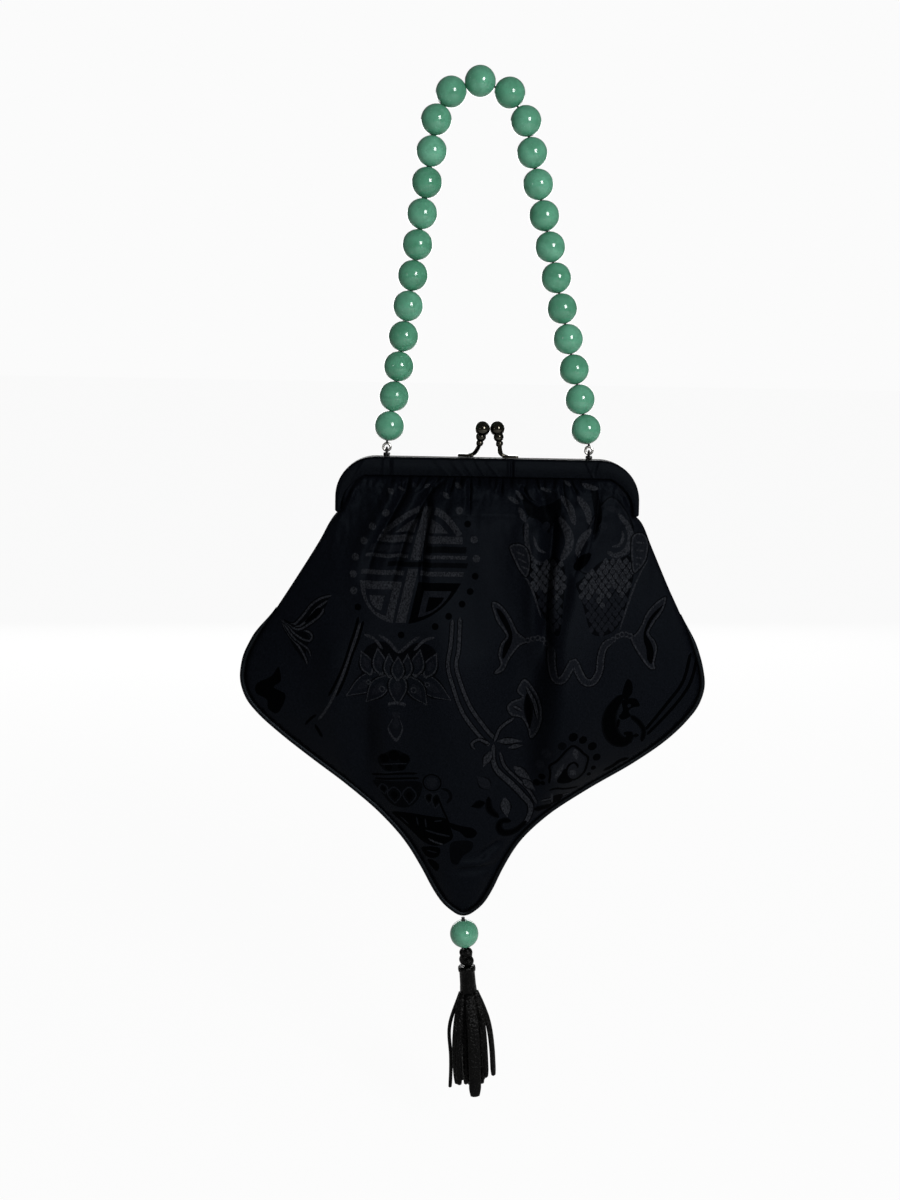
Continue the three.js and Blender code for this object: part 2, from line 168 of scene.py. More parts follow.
def evenly(line, count):  # the same line with its points evenly spaced
    along = np.concatenate([[0], np.cumsum(stepsAlong(line))])
    want = np.linspace(0, along[-1], count)
    return np.column_stack([np.interp(want, along, line[:, k]) for k in range(line.shape[1])])


def ramp(x, low, high):  # smooth step from 0 to 1
    t = np.clip((x - low) / (high - low), 0, 1)
    return t * t * (3 - 2 * t)


def bell(x):  # 1 at the middle, fading to both sides
    return np.exp(-x * x)


def circle(sides):  # points round a unit circle
    angles = np.arange(sides) * 2 * np.pi / sides
    return np.column_stack([np.cos(angles), np.sin(angles)])


def loft(rings, capped=True):  # skin over rings of equal length, each closed on itself
    rings = np.asarray(rings)
    count, sides = rings.shape[:2]
    at = np.arange(count * sides).reshape(count, sides)
    turn = np.roll(at, -1, axis=1)
    faces = np.stack([at[:-1], turn[:-1], turn[1:], at[1:]], axis=-1).reshape(-1, 4).tolist()
    if capped:
        faces += [at[0, ::-1].tolist(), at[-1].tolist()]
    return rings.reshape(-1, 3), faces


def closedLoft(rings):  # skin whose last ring joins its first
    rings = np.asarray(rings)
    points, faces = loft(np.concatenate([rings, rings[:1]]), capped=False)
    count = rings.shape[0] * rings.shape[1]
    return points[:count], [[i % count for i in face] for face in faces]


def turnedSolid(profile, sides):  # profile rows are radius and height, up the outside
    ring = circle(sides)
    return np.array([np.column_stack([r * ring, np.full(sides, h)]) for r, h in profile])


def joined(parts):  # several point and face lists as one
    points, faces, start = [], [], 0
    for p, f in parts:
        points.append(np.asarray(p))
        faces += [[i + start for i in face] for face in f]
        start += len(p)
    return np.vstack(points), faces


def tubeAlong(line, radii, sides):  # a round bar along a line
    line = np.asarray(line, dtype=float)
    ahead = headings(line)
    side = np.cross(ahead[0], [0, 0, 1.0])
    if np.linalg.norm(side) < 0.1:  # the line starts straight up
        side = np.cross(ahead[0], [0, 1.0, 0])
    ring = circle(sides)
    rings = []
    for p, d, r in zip(line, ahead, np.broadcast_to(radii, len(line))):
        side = side - d * np.dot(side, d)
        side /= np.linalg.norm(side)
        rings.append(p + r * ring @ np.array([side, np.cross(side, d)]))
    return loft(rings)


def ball(centre, radius, sides=28, rows=15, flat=1.0):
    angles = np.linspace(-np.pi / 2, np.pi / 2, rows)[1:-1]
    rings = turnedSolid(np.column_stack([radius * np.cos(angles), radius * np.sin(angles)]), sides)
    points, faces = loft(rings, capped=False)
    low, high = len(points), len(points) + 1
    lastRing = low - sides
    points = np.vstack([points, [(0, 0, -radius), (0, 0, radius)]])
    for i in range(sides):
        j = (i + 1) % sides
        faces += [[low, j, i], [high, lastRing + i, lastRing + j]]
    return points * [1, 1, flat] + np.asarray(centre), faces


def softBox(low, high, radius, steps=4):  # a plate with rounded edges
    low, high = np.asarray(low, dtype=float), np.asarray(high, dtype=float)
    mid, half = (low + high) / 2, (high - low) / 2
    corner = 2 * radius
    turn = np.linspace(0, np.pi / 2, steps)[:, None]
    quarter = half[:2] - corner + corner * np.hstack([np.cos(turn), np.sin(turn)])
    ring = np.vstack([quarter, (quarter * [-1, 1])[::-1], quarter * [-1, -1], (quarter * [1, -1])[::-1]])
    rings = []
    for end, share in ((-1, 0.0), (-1, 0.5), (-1, 1.0), (1, 1.0), (1, 0.5), (1, 0.0)):
        pulledIn = radius * (1 - math.sin(share * math.pi / 2))
        height = mid[2] + end * (half[2] - radius * (1 - math.cos(share * math.pi / 2)))
        flat = mid[:2] + ring * ((half[:2] - pulledIn) / half[:2])
        rings.append(np.column_stack([flat, np.full(len(ring), height)]))
    return loft(rings)


# small tools for node trees and shaders

def addNode(tree, kind, sockets=None, **settings):
    made = tree.nodes.new(kind)
    for key, value in settings.items():
        setattr(made, key, value)
    for key, value in (sockets or {}).items():
        if isinstance(value, bpy.types.NodeSocket):
            tree.links.new(value, made.inputs[key])
        else:
            made.inputs[key].default_value = value
    return made


def linkAll(tree, node, **values):  # an underscore stands for a space in a socket's name
    for key, value in values.items():
        tree.links.new(value, node.inputs[key.replace("_", " ")])


def mathOf(tree, operation, a, b=0.0):
    return addNode(tree, "ShaderNodeMath", {0: a, 1: b}, operation=operation).outputs[0]


def stretched(tree, place, by):
    return addNode(tree, "ShaderNodeVectorMath", {0: place, 1: by}, operation="MULTIPLY").outputs[0]


def noiseOf(tree, place, size, detail, **more):
    sockets = {"Vector": place, "Scale": size, "Detail": detail, **more}
    return addNode(tree, "ShaderNodeTexNoise", sockets).outputs[0]


def mixColour(tree, share, a, b, blend="MIX"):
    a, b = (colour if isinstance(colour, bpy.types.NodeSocket) else (*colour, 1) for colour in (a, b))
    sockets = {0: share, 6: a, 7: b}
    return addNode(tree, "ShaderNodeMix", sockets, data_type="RGBA", blend_type=blend).outputs[2]


def spread(tree, value, low, high, newLow=0.0, newHigh=1.0):
    sockets = {"Value": value, "From Min": low, "From Max": high, "To Min": newLow, "To Max": newHigh}
    return addNode(tree, "ShaderNodeMapRange", sockets).outputs[0]


def bumpOf(tree, height, strength, depth):
    sockets = {"Height": height, "Strength": strength, "Distance": depth * mm}
    return addNode(tree, "ShaderNodeBump", sockets).outputs[0]


def newTree(kind, name, inputs, outputs):
    tree = bpy.data.node_groups.new(name, kind)
    for label, form, value in inputs:
        socket = tree.interface.new_socket(label, in_out="INPUT", socket_type="NodeSocket" + form)
        if value is not None:
            socket.default_value = value
    for label, form in outputs:
        tree.interface.new_socket(label, in_out="OUTPUT", socket_type="NodeSocket" + form)
    return tree, tree.nodes.new("NodeGroupInput"), tree.nodes.new("NodeGroupOutput")


def newEffect(name, inputs, outputs):  # a shader group that reads a place and puts out values
    inputs = [("Vector", "Vector", None), *((label, "Float", value) for label, value in inputs)]
    return newTree("ShaderNodeTree", name, inputs, [(label, "Float") for label in outputs])


def useEffect(tree, effect, **values):
    return addNode(tree, "ShaderNodeGroup", values, node_tree=effect).outputs


def newFinish(name, **constants):  # a material, its tree, its shader and its coordinates in millimetres
    material = bpy.data.materials.new(name)
    material.use_nodes = True
    tree = material.node_tree
    shader = tree.nodes["Principled BSDF"]
    for key, value in constants.items():
        shader.inputs[key.replace("_", " ")].default_value = value
    place = addNode(tree, "ShaderNodeTexCoord").outputs["Object"]
    inMm = addNode(tree, "ShaderNodeVectorMath", {0: place, "Scale": 1 / mm}, operation="SCALE").outputs[0]
    return material, tree, shader, inMm


def newShape(name, inputs):  # a geometry tree with named inputs
    inputs = [("Geometry", "Geometry", None), *inputs, ("Finish", "Material", None)]
    return newTree("GeometryNodeTree", name, inputs, [("Geometry", "Geometry")])


def endShape(tree, given, out, geometry):  # every shape ends as real, smooth faces with its finish
    real = addNode(tree, "GeometryNodeRealizeInstances", {0: geometry})
    smooth = addNode(tree, "GeometryNodeSetShadeSmooth", {"Geometry": real.outputs[0]})
    sockets = {"Geometry": smooth.outputs[0], "Material": given.outputs["Finish"]}
    finish = addNode(tree, "GeometryNodeSetMaterial", sockets)
    tree.links.new(finish.outputs[0], out.inputs[0])


def runShape(piece, tree, **values):  # runs the tree and keeps its result as a plain mesh
    modifier = piece.modifiers.new(tree.name, "NODES")
    modifier.node_group = tree
    for item in tree.interface.items_tree:
        if item.in_out == "INPUT" and item.name in values:
            modifier[item.identifier] = values[item.name]
    bpy.context.view_layer.update()
    result = piece.evaluated_get(bpy.context.evaluated_depsgraph_get())
    mesh = bpy.data.meshes.new_from_object(result)
    piece.modifiers.remove(modifier)
    piece.data = mesh
    return piece


# effects that the finishes share

def makeWeave():  # satin weave: fine crossing threads, with slubs along the warp
    tree, given, out = newEffect("satinWeave", [("Thread", 0.5), ("Turn", 0.0)], ["Height", "Slub"])
    place = given.outputs["Vector"]
    split = addNode(tree, "ShaderNodeSeparateXYZ", {0: place})
    waves = []
    for axis in ("X", "Z"):
        count = mathOf(tree, "DIVIDE", split.outputs[axis], given.outputs["Thread"])
        waves.append(mathOf(tree, "MULTIPLY", count, 2 * math.pi))
    threads = []
    for over, under in (waves, waves[::-1]):
        wave = mathOf(tree, "ADD", over, mathOf(tree, "MULTIPLY", under, 0.25))  # a twill's slant
        threads.append(mathOf(tree, "ABSOLUTE", mathOf(tree, "SINE", wave)))
    warp, weft = threads
    turned = mathOf(tree, "MULTIPLY", given.outputs["Turn"], mathOf(tree, "SUBTRACT", weft, warp))
    slub = noiseOf(tree, stretched(tree, place, (1.15, 1.0, 0.85)), 1.5, 2.0, Roughness=0.6)
    linkAll(tree, out, Height=mathOf(tree, "ADD", warp, turned), Slub=slub)
    return tree


def makeLeatherGrain():  # pebbled grain with fine creases
    tree, given, out = newEffect("leatherGrain", [("Pebble", 1.2)], ["Height", "Wear"])
    place = given.outputs["Vector"]
    sockets = {"Vector": place, "Scale": given.outputs["Pebble"]}
    pebbles = addNode(tree, "ShaderNodeTexVoronoi", sockets, feature="SMOOTH_F1").outputs["Distance"]
    fine = mathOf(tree, "MULTIPLY", noiseOf(tree, place, 3.0, 4.0), 0.4)
    linkAll(tree, out, Height=mathOf(tree, "SUBTRACT", fine, pebbles), Wear=noiseOf(tree, place, 0.35, 2.0))
    return tree


def makeTarnish():  # dull patches and fine scratches on polished metal
    tree, given, out = newEffect("metalTarnish", [("Patch", 0.6)], ["Dull", "Scratch"])
    place = given.outputs["Vector"]
    dull = spread(tree, noiseOf(tree, place, given.outputs["Patch"], 4.0), 0.4, 0.65)
    linkAll(tree, out, Dull=dull, Scratch=noiseOf(tree, stretched(tree, place, (1.0, 6.0, 0.7)), 3.0, 2.0))
    return tree


satinWeave = makeWeave()
leatherGrain = makeLeatherGrain()
metalTarnish = makeTarnish()


# finishes

satins = dict(  # dark and light thread, roughness, turn of the weave, thread width and shine
    # figure, soft and deep are one figure weave, lit, half-lit and in shade: painted sheen and painted shade;
    # dim is a dark tone for outlines and painted shade
    groundSatin=((0.0010, 0.0013, 0.0022), (0.0024, 0.0029, 0.0046), 0.44, 0.0, 0.45, 0.036),
    figureSatin=((0.0022, 0.0025, 0.0036), (0.0185, 0.0198, 0.0235), 0.56, 1.0, 0.60, 0.03),
    deepSatin=((0.0001, 0.0001, 0.0002), (0.0004, 0.0005, 0.0007), 0.50, 1.0, 0.60, 0.006),
    softSatin=((0.0020, 0.0024, 0.0036), (0.0054, 0.0060, 0.0082), 0.52, 0.6, 0.55, 0.03),
    dimSatin=((0.0003, 0.0004, 0.0006), (0.0009, 0.0011, 0.0017), 0.50, 0.8, 0.55, 0.015),
    coverSatin=((0.0008, 0.0010, 0.0016), (0.0020, 0.0024, 0.0037), 0.40, 0.0, 0.45, 0.032),
    pipingSatin=((0.0006, 0.0006, 0.0008), (0.0014, 0.0014, 0.0018), 0.28, 0.5, 0.35, 0.10),
)
satinLook = dict(tint=(0.70, 0.86, 1.0, 1), slubs=(0.32, 0.68), duller=0.12, slubHeight=1.2, strength=0.35,
                 depth=0.08)


def makeDamask(name, dark, light, rough, turn, thread, shine):
    look = satinLook
    material, tree, shader, inMm = newFinish(name, Specular_IOR_Level=shine, Specular_Tint=look["tint"])
    weave = useEffect(tree, satinWeave, Vector=inMm, Thread=thread, Turn=turn)
    slub = spread(tree, weave["Slub"], *look["slubs"])
    height = mathOf(tree, "ADD", weave["Height"], mathOf(tree, "MULTIPLY", weave["Slub"], look["slubHeight"]))
    linkAll(
        tree, shader, Base_Color=mixColour(tree, slub, dark, light),
        Roughness=spread(tree, slub, 0, 1, rough, rough + look["duller"]),
        Normal=bumpOf(tree, height, look["strength"], look["depth"]),
    )
    return material


stone = dict(
    dark=(0.050, 0.200, 0.116), light=(0.080, 0.280, 0.172), cloudSize=0.16,
    paler=(1.5, 1.28, 1.38),  # what the palest bead's colour is multiplied by
    grain=(0.045, 0.16, 0.09), grainSize=1.6, grainShare=0.35, fleck=(0.30, 0.55, 0.42), fleckSize=0.75,
    fleckShare=0.5, rough=(0.07, 0.14), depth=1.5, radii=(0.6, 1.0, 0.75),
)


def makeStone():
    material, tree, shader, inMm = newFinish(
        "greenStone", Specular_IOR_Level=0.5, Subsurface_Weight=0.25, Subsurface_Scale=stone["depth"] * mm,
        Subsurface_Radius=stone["radii"],
    )
    tint = addNode(tree, "ShaderNodeAttribute", attribute_name="tint").outputs["Fac"]
    cloud = noiseOf(tree, inMm, stone["cloudSize"], 4.0, Distortion=0.6)
    grain = noiseOf(tree, inMm, stone["grainSize"], 3.0)
    sockets = {"Vector": inMm, "Scale": stone["fleckSize"]}
    fleck = addNode(tree, "ShaderNodeTexVoronoi", sockets).outputs["Distance"]
    body = mixColour(tree, spread(tree, cloud, 0.3, 0.7), stone["dark"], stone["light"])
    body = mixColour(tree, tint, body, mixColour(tree, 1.0, body, stone["paler"], "MULTIPLY"))
    body = mixColour(tree, spread(tree, grain, 0.55, 0.75, 0, stone["grainShare"]), body, stone["grain"])
    body = mixColour(tree, spread(tree, fleck, 0.0, 0.16, stone["fleckShare"], 0.0), body, stone["fleck"])
    linkAll(tree, shader, Base_Color=body, Roughness=spread(tree, grain, 0.3, 0.7, *stone["rough"]))
    return material


leather = dict(
    dark=(0.0004, 0.0004, 0.0004), light=(0.0012, 0.0012, 0.0011), rough=(0.17, 0.32), shine=0.08, pebble=1.0,
    depth=0.42,
)


def makeLeather():
    material, tree, shader, inMm = newFinish("blackLeather", Specular_IOR_Level=leather["shine"])
    grain = useEffect(tree, leatherGrain, Vector=inMm, Pebble=leather["pebble"])
    linkAll(
        tree, shader,
        Base_Color=mixColour(tree, spread(tree, grain["Wear"], 0.35, 0.7), leather["dark"], leather["light"]),
        Roughness=spread(tree, grain["Wear"], 0.3, 0.7, *leather["rough"]),
        Normal=bumpOf(tree, grain["Height"], 1.0, leather["depth"]),
    )
    return material


metals = dict(  # bright and dull colour, roughness from and to, and size of the dull patches
    darkMetal=((0.055, 0.051, 0.040), (0.036, 0.033, 0.026), 0.015, 0.095, 0.5),
    silverMetal=((0.70, 0.69, 0.66), (0.35, 0.34, 0.32), 0.16, 0.24, 0.7),
    blackMetal=((0.030, 0.030, 0.030), (0.015, 0.015, 0.015), 0.35, 0.43, 0.7),
)


def makeMetal(name, bright, dull, smoothest, roughest, patch):
    material, tree, shader, inMm = newFinish(name, Metallic=1.0)
    tarnish = useEffect(tree, metalTarnish, Vector=inMm, Patch=patch)
    rough = spread(tree, tarnish["Scratch"], 0.3, 0.7, smoothest, roughest)
    linkAll(tree, shader, Base_Color=mixColour(tree, tarnish["Dull"], bright, dull), Roughness=rough)
    return material


def makeThread():
    material, tree, shader, inMm = newFinish("blackThread", Specular_IOR_Level=0.3, Sheen_Weight=0.1)
    sockets = {"Vector": inMm, "Scale": 0.7, "Distortion": 1.0}
    twist = addNode(tree, "ShaderNodeTexWave", sockets, bands_direction="DIAGONAL").outputs[1]
    linkAll(
        tree, shader, Base_Color=mixColour(tree, twist, (0.006, 0.006, 0.007), (0.02, 0.02, 0.022)),
        Roughness=spread(tree, twist, 0, 1, 0.55, 0.75), Normal=bumpOf(tree, twist, 0.5, 0.1),
    )
    return material


finishes = {name: makeDamask(name, *values) for name, values in satins.items()}
finishes.update({name: makeMetal(name, *values) for name, values in metals.items()})
greenStone, blackLeather, blackThread = makeStone(), makeLeather(), makeThread()
print("finishes made")


# sizes of the frame, whose band holds the cloth

frameCover = dict(
    half=60.5, corner=16.0, band=7.3, arm=21.5, armTip=2.2, straight=49.0, bend=(58.5, 12.4), inner=0.3,
    meet=0.06, wall=1.5, groove=2.3, topRound=1.5, lipRound=0.6, meetRound=0.4, grooveRound=0.5, pillow=0.25,
    step=0.4, cornerSteps=44, curvePoints=40, endRound=0.6, endShare=(0.6, 0.75, 0.6),
    webShare=0.6, topShare=0.35, lipShare=0.4,  # of the band's height, where an arm is thin
    # where the wrinkles fade out, in from the face and down from the top
    faceBlend=(0.7, 0.1), topBlend=(0.2, 1.2),
    armFall=(14.0, 46.0, 60.0),  # how far the band's lower edge falls into the arms, and between which places
    wrinkles=[  # where each starts and ends across the band, half width and height
        (-41, -41.3, 0.5, 0.22), (-39.2, -39, 0.45, -0.28), (-37.2, -37, 0.6, 0.2), (-22, -15, 0.5, 0.2),
        (-15.5, -9.5, 0.45, 0.22), (-11, -5.5, 0.5, 0.18), (-5.5, -1, 0.45, 0.22), (-1.5, 4.5, 0.5, 0.2),
        (8.3, 8.5, 0.5, 0.25), (9.4, 9.6, 0.45, -0.5), (10.7, 10.8, 0.55, 0.22), (38.5, 42, 0.5, 0.22),
        (43.5, 40.5, 0.45, -0.2), (44.5, 43, 0.6, 0.2), (-48, -52, 0.7, 0.15),
    ],
    wrinkleLift=1.8,  # what each height above is multiplied by
    crease=dict(drop=1.9, width=0.22, depth=0.16),  # where the cover folds over its top edge
)


# pouch: the cloth's outline and swell, section by section down from the frame's top

pouch = dict(
    columns=("drop", "left", "right", "tuck", "edge", "depth"),
    sections=[
        (4.5, -46, 46, 4, 2.4, 0),
        (7.4, -51.4, 51.4, 4.8, 2.4, 0),
        (10, -54.2, 54.2, 4.6, 2.4, 2.2),
        (14, -57.1, 57.1, 2.8, 2.4, 5.4),
        (18, -58.1, 58.1, 1.5, 2.4, 7.6),
        (21.6, -58.4, 58.4, 0.9, 2.2, 9.3),
        (22.6, -59.9, 60.1, 0.8, 1.3, 10.0),
        (25.5, -62.2, 62.6, 0.7, 0.55, 10.8),
        (34, -66.8, 66.4, 0.5, 0.05, 12.2),
        (50, -76.6, 73.6, 0.5, 0.05, 13.8),
        (66, -86.8, 81.2, 0.5, 0.05, 14.4),
        (76, -92.8, 84.8, 0.5, 0.05, 14.4),
        (84, -96.3, 87.3, 0.5, 0.05, 14.2),
        (91, -97.2, 88.4, 0.5, 0.05, 13.9),
        (98, -95.4, 86.7, 0.5, 0.05, 13.4),
        (104, -91, 82.7, 0.5, 0.05, 12.9),
        (112, -82.3, 75.1, 0.5, 0.05, 12.0),
        (122, -69.7, 61.9, 0.5, 0.05, 10.8),
        (134, -53.8, 42.7, 0.5, 0.05, 9.4),
        (146, -39.9, 25.9, 0.5, 0.05, 8.0),
        (158, -29.3, 14.4, 0.5, 0.05, 6.8),
        (170, -21.9, 7.6, 0.5, 0.05, 4.8),
        (179, -17.1, 3.6, 0.5, 0.05, 3.2),
        (185, -12.9, 0, 0.5, 0.05, 1.6),
        (188.4, -8.6, -4, 0.4, 0.05, 0.5),
        (189.8, -6.8, -5.8, 0.3, 0.05, 0),
    ],
    crown=2.4,  # how squarely the cloth swells between its edges
    thickness=1.1,
    topDrop=5.5,  # the cloth's top edge, hidden in the groove
    # between two drops, finest among the gathers
    spacing=((6.3, 18.0, 0.6), (18.4, 62.0, 1.0), (62.8, 189.0, 1.5)), rowShare=0.866, margin=0.6,
    edgeStep=1.1, edgePoints=600,
)

# broad folds: where each starts and ends across, the drops between, half width left and right, and height
# out or in
folds = [
    (-36.5, -52, 9, 50, 3.6, 3.6, 1.6),
    (-12, -13, 8, 46, 5.0, 4.0, 1.8),
    (17, 17, 12, 74, 8.0, 4.0, 2.4),
    (35, 31, 9, 50, 4.0, 5.0, 2.4),
    (33, 28, 36, 78, 3.4, 3.4, -4.0),
    (21.5, 25.5, 8, 36, 3.6, 3.6, -4.8),
    (40, 38, 8, 40, 2.8, 2.8, 1.6),
    (50, 51, 9, 44, 4.2, 4.2, 2.0),
    (-47, -62, 9, 48, 4.0, 4.0, -1.8),
    (34.5, 28, 22, 195, 9.0, 20.0, 7.6),
    (20.5, 16, 44, 195, 15.0, 8.0, -6.8),
    (-48, -47, 84, 190, 9.0, 6.0, -7.0),
    (-62, -58, 58, 140, 8.0, 10.0, 3.6),
    (-15, -14, 50, 165, 13.0, 11.0, 3.4),
]
foldForm = dict(narrow=0.75, widen=0.5, full=0.3, fade=0.35)  # shares of its length and width

# sharp creases: a path as x and drop, half width, depth, and which side is the steep one
creases = [
    ([(-29.6, 6.9), (-34, 16.1), (-40, 27.2), (-44.7, 36.9), (-49, 54)], 1.3, 4.8, 1),
    ([(-15.1, 6.2), (-19.8, 10.7), (-24, 15.5), (-28.3, 23.5), (-32.1, 31.4), (-39, 56)], 1.3, 5.2, 1),
    ([(-23.4, 13), (-24.2, 25.2), (-25.1, 35.7), (-26, 58)], 0.9, 3.8, -1),
    ([(13.2, 9), (15.5, 14.3), (19, 17.2), (23.8, 19.8)], 0.8, 2.6, 1),
    ([(27.2, 20), (26.3, 32.2), (24.9, 44.6), (24.3, 57), (24.6, 72), (24, 90)], 1.5, 6.6, 1),
    ([(44, 6.5), (44.3, 13.5), (43.1, 25.7), (40.5, 38)], 0.65, 3.0, -1),
    ([(39.6, 29), (36.7, 36.4), (34.5, 47)], 0.8, 2.6, -1),
    ([(29.7, 6.3), (30.3, 13.7), (33.2, 24)], 0.55, 2.2, 1),
    ([(-6.8, 6.5), (-6.9, 13.5), (-7.1, 24)], 0.5, 2.0, 1),
    ([(-46, 7), (-52.5, 16), (-56, 26)], 0.55, 1.8, 1),
]
creaseForm = dict(
    gentle=2.2, roundness=1.6, lip=0.5, lipAt=3.4, lipWidth=2.4, pathSteps=8,
    start=0.5, full=2, fullShare=0.08, fade=0.55,  # where it begins, is deepest and fades, down its length
    # across it, for its mesh
    points=[-5.5, -4.2, -3.2, -2.4, -1.7, -1.1, -0.6, -0.2, 0.2, 0.6, 1.1, 1.7, 2.5], pointStep=0.7,
    pointStart=0.6, pointEnd=0.5, sideRoom=1, topRoom=0.8,
)

# the few that run across: ends, the drops there, half width and height
crossFolds = [
    (-13, 8, 167.5, 165.5, 1.3, 1.5),
    (-13, 9, 170.5, 168.5, 1.7, -1.5),
    (-1.5, 10, 164, 156.5, 1.3, -2.6),
    (-75, 85, 100, 98, 34.0, 3.0),
]
crossForm = dict(full=0.3, fade=0.7)

gathers = dict(
    rows=[  # under the band and at the foot of each, the foot's drop, share of depth, and which side is steep
        (-42.9, -45.6, 11.5, 1.4, 1), (-37.6, -38.7, 11.5, 1.4, -1), (-34.9, -34.3, 15.5, 2.2, 1),
        (-31.1, -32.8, 13, 1.6, -1), (-26.2, -29.2, 12.8, 1.6, 1), (-22.9, -27.4, 14, 1.9, 1),
        (-18.5, -24.5, 14.5, 2.0, -1), (-12.9, -15.6, 15.5, 2.0, 1), (-10.5, -11.7, 12.6, 1.5, -1),
        (-4, -3.4, 12, 1.5, 1), (-1.8, -1.3, 11.2, 1.2, -1), (0.6, 0.4, 12, 1.5, 1), (2.8, 2.9, 12, 1.4, -1),
        (5.8, 5.2, 15.5, 2.1, 1), (8.6, 9.2, 11.5, 1.3, -1), (15.5, 15, 12, 1.4, 1),
        (18.8, 20.2, 14, 1.9, -1), (22, 22.7, 12.5, 1.5, 1), (26.6, 25.5, 12, 1.4, -1),
        (31.9, 35.4, 15, 2.0, -1), (35.3, 38.4, 13.2, 1.7, 1), (39, 40.8, 14, 1.9, -1),
        (46.5, 50.2, 13.6, 1.8, 1), (48.6, 54.5, 16, 1.9, -1),
    ],
    top=6.2, width=0.55, depth=1.4, puff=1.9, puffAt=3.0, puffTall=3.5, wrinkle=1.0, wrinkleSize=(0.42, 0.16),
    wrinkleFade=14, sag=1.6, sagSize=(0.035, 0.022), ease=1.1, sideEase=4, fine=0.5, finer=(2.1, 2.5),
)
creases += [
    ([(top, gathers["top"]), (foot, drop)], gathers["width"], gathers["depth"] * share, steep)
    for top, foot, drop, share, steep in gathers["rows"]
]

sectionRows = np.array(pouch["sections"], dtype=float)


def sectionAt(drop, column):  # a smooth curve through one column that never swings past its rows
    at, values = sectionRows[:, 0], sectionRows[:, pouch["columns"].index(column)]
    gap = np.diff(at)
    slope = np.diff(values) / gap
    bend = slope[:-1] * slope[1:] > 0
    inner = np.where(bend, 2 * slope[:-1] * slope[1:] / np.where(bend, slope[:-1] + slope[1:], 1), 0)
    slopes = np.concatenate([slope[:1], inner, slope[-1:]])
    i = np.clip(np.searchsorted(at, drop) - 1, 0, len(gap) - 1)
    t = (drop - at[i]) / gap[i]
    start = (1 + 2 * t) * (1 - t) ** 2 * values[i] + t * (1 - t) ** 2 * gap[i] * slopes[i]
    return start + t * t * (3 - 2 * t) * values[i + 1] + t * t * (t - 1) * gap[i] * slopes[i + 1]


def edgeTable(fromDrop):  # drop, left and right down the cloth's two edges
    drops = np.linspace(fromDrop, sectionRows[-1, 0], pouch["edgePoints"])
    return np.column_stack([drops, sectionAt(drops, "left"), sectionAt(drops, "right")])


def edgeRoom(x, drop):  # how far in from the nearer edge
    return np.minimum(x - sectionAt(drop, "left"), sectionAt(drop, "right") - x)


def bandEdge(x):  # drop of the frame's lower edge, rounding down into the arms
    fall, start, end = frameCover["armFall"]
    return frameCover["band"] + fall * ramp(np.abs(x), start, end) ** 2


def crumple(x, drop, across, down):  # uneven wrinkles, longer down the cloth than across it
    fine, (finerAcross, finerDown) = gathers["fine"], gathers["finer"]
    heights = []
    for a, b in zip(x * across, drop * down):
        heights.append(noise.noise((a, b, 3.7)) + fine * noise.noise((finerAcross * a, finerDown * b, 8.1)))
    return np.array(heights)


def foldHeight(x, drop):
    height = np.zeros_like(x)
    for top, foot, start, end, leftHalf, rightHalf, out in folds:
        down = np.clip((drop - start) / (end - start), 0, 1)
        off = x - (top + (foot - top) * down)
        off = off / np.where(off < 0, leftHalf, rightHalf) / (foldForm["narrow"] + foldForm["widen"] * down)
        height += out * bell(off) * ramp(down, 0, foldForm["full"]) * (1 - ramp(down, foldForm["fade"], 1))
    return height


def creaseHeight(x, drop):
    form = creaseForm
    height = np.zeros_like(x)
    for path, width, depth, steep in creases:
        line = smoothLine(path, form["pathSteps"])
        start, end = line[0, 1], line[-1, 1]
        off = steep * (x - np.interp(drop, line[:, 1], line[:, 0])) / width
        dip = np.exp(-np.where(off > 0, off, -off / form["gentle"]) ** form["roundness"])
        lip = form["lip"] * bell((off + form["lipAt"]) / form["lipWidth"])
        sink = ramp(drop, start + form["start"], start + form["full"] + form["fullShare"] * (end - start))
        height += depth * (lip - dip) * sink * (1 - ramp(drop, start + form["fade"] * (end - start), end))
    return height


def crossHeight(x, drop):
    height = np.zeros_like(x)
    for start, end, first, last, width, out in crossFolds:
        along = np.clip((x - start) / (end - start), 0, 1)
        off = (drop - (first + (last - first) * along)) / width
        fade = ramp(along, 0, crossForm["full"]) * (1 - ramp(along, crossForm["fade"], 1))
        height += out * bell(off) * fade
    return height


def gatherHeight(x, drop, side):  # puffs and wrinkles where the cloth leaves the band
    below = np.maximum(drop - bandEdge(x), 0)
    ease = ramp(below, 0, gathers["ease"]) * np.clip(edgeRoom(x, drop) / gathers["sideEase"], 0, 1)
    puff = gathers["puff"] * bell((below - gathers["puffAt"]) / gathers["puffTall"])
    wrinkle = gathers["wrinkle"] * np.exp(-below / gathers["wrinkleFade"])
    return ease * (puff + wrinkle * crumple(side, drop, *gathers["wrinkleSize"]))


def clothHeight(x, drop, mirrored=False):
    side = -x if mirrored else x
    half = np.maximum((sectionAt(drop, "right") - sectionAt(drop, "left")) / 2, 0.3)
    tuck, edge, depth = (sectionAt(drop, key) for key in ("tuck", "edge", "depth"))
    inwards = np.clip((edgeRoom(x, drop) - tuck) / np.maximum(half - tuck, 0.1), 0, 1)
    rise = 1 - (1 - inwards) ** pouch["crown"]
    sag = gathers["sag"] * crumple(side, drop, *gathers["sagSize"])
    height = edge + rise * (depth + foldHeight(side, drop) + creaseHeight(side, drop) + sag)
    height += crossHeight(side, drop) + gatherHeight(x, drop, side)
    return np.maximum(height, edge / 2)


def edgeRound(x, drop):  # the cloth's thickness, rounded off at its edges
    near = np.clip(edgeRoom(x, drop) / pouch["thickness"], 0, 1)
    return pouch["thickness"] * np.sqrt(1 - (1 - near) ** 2)


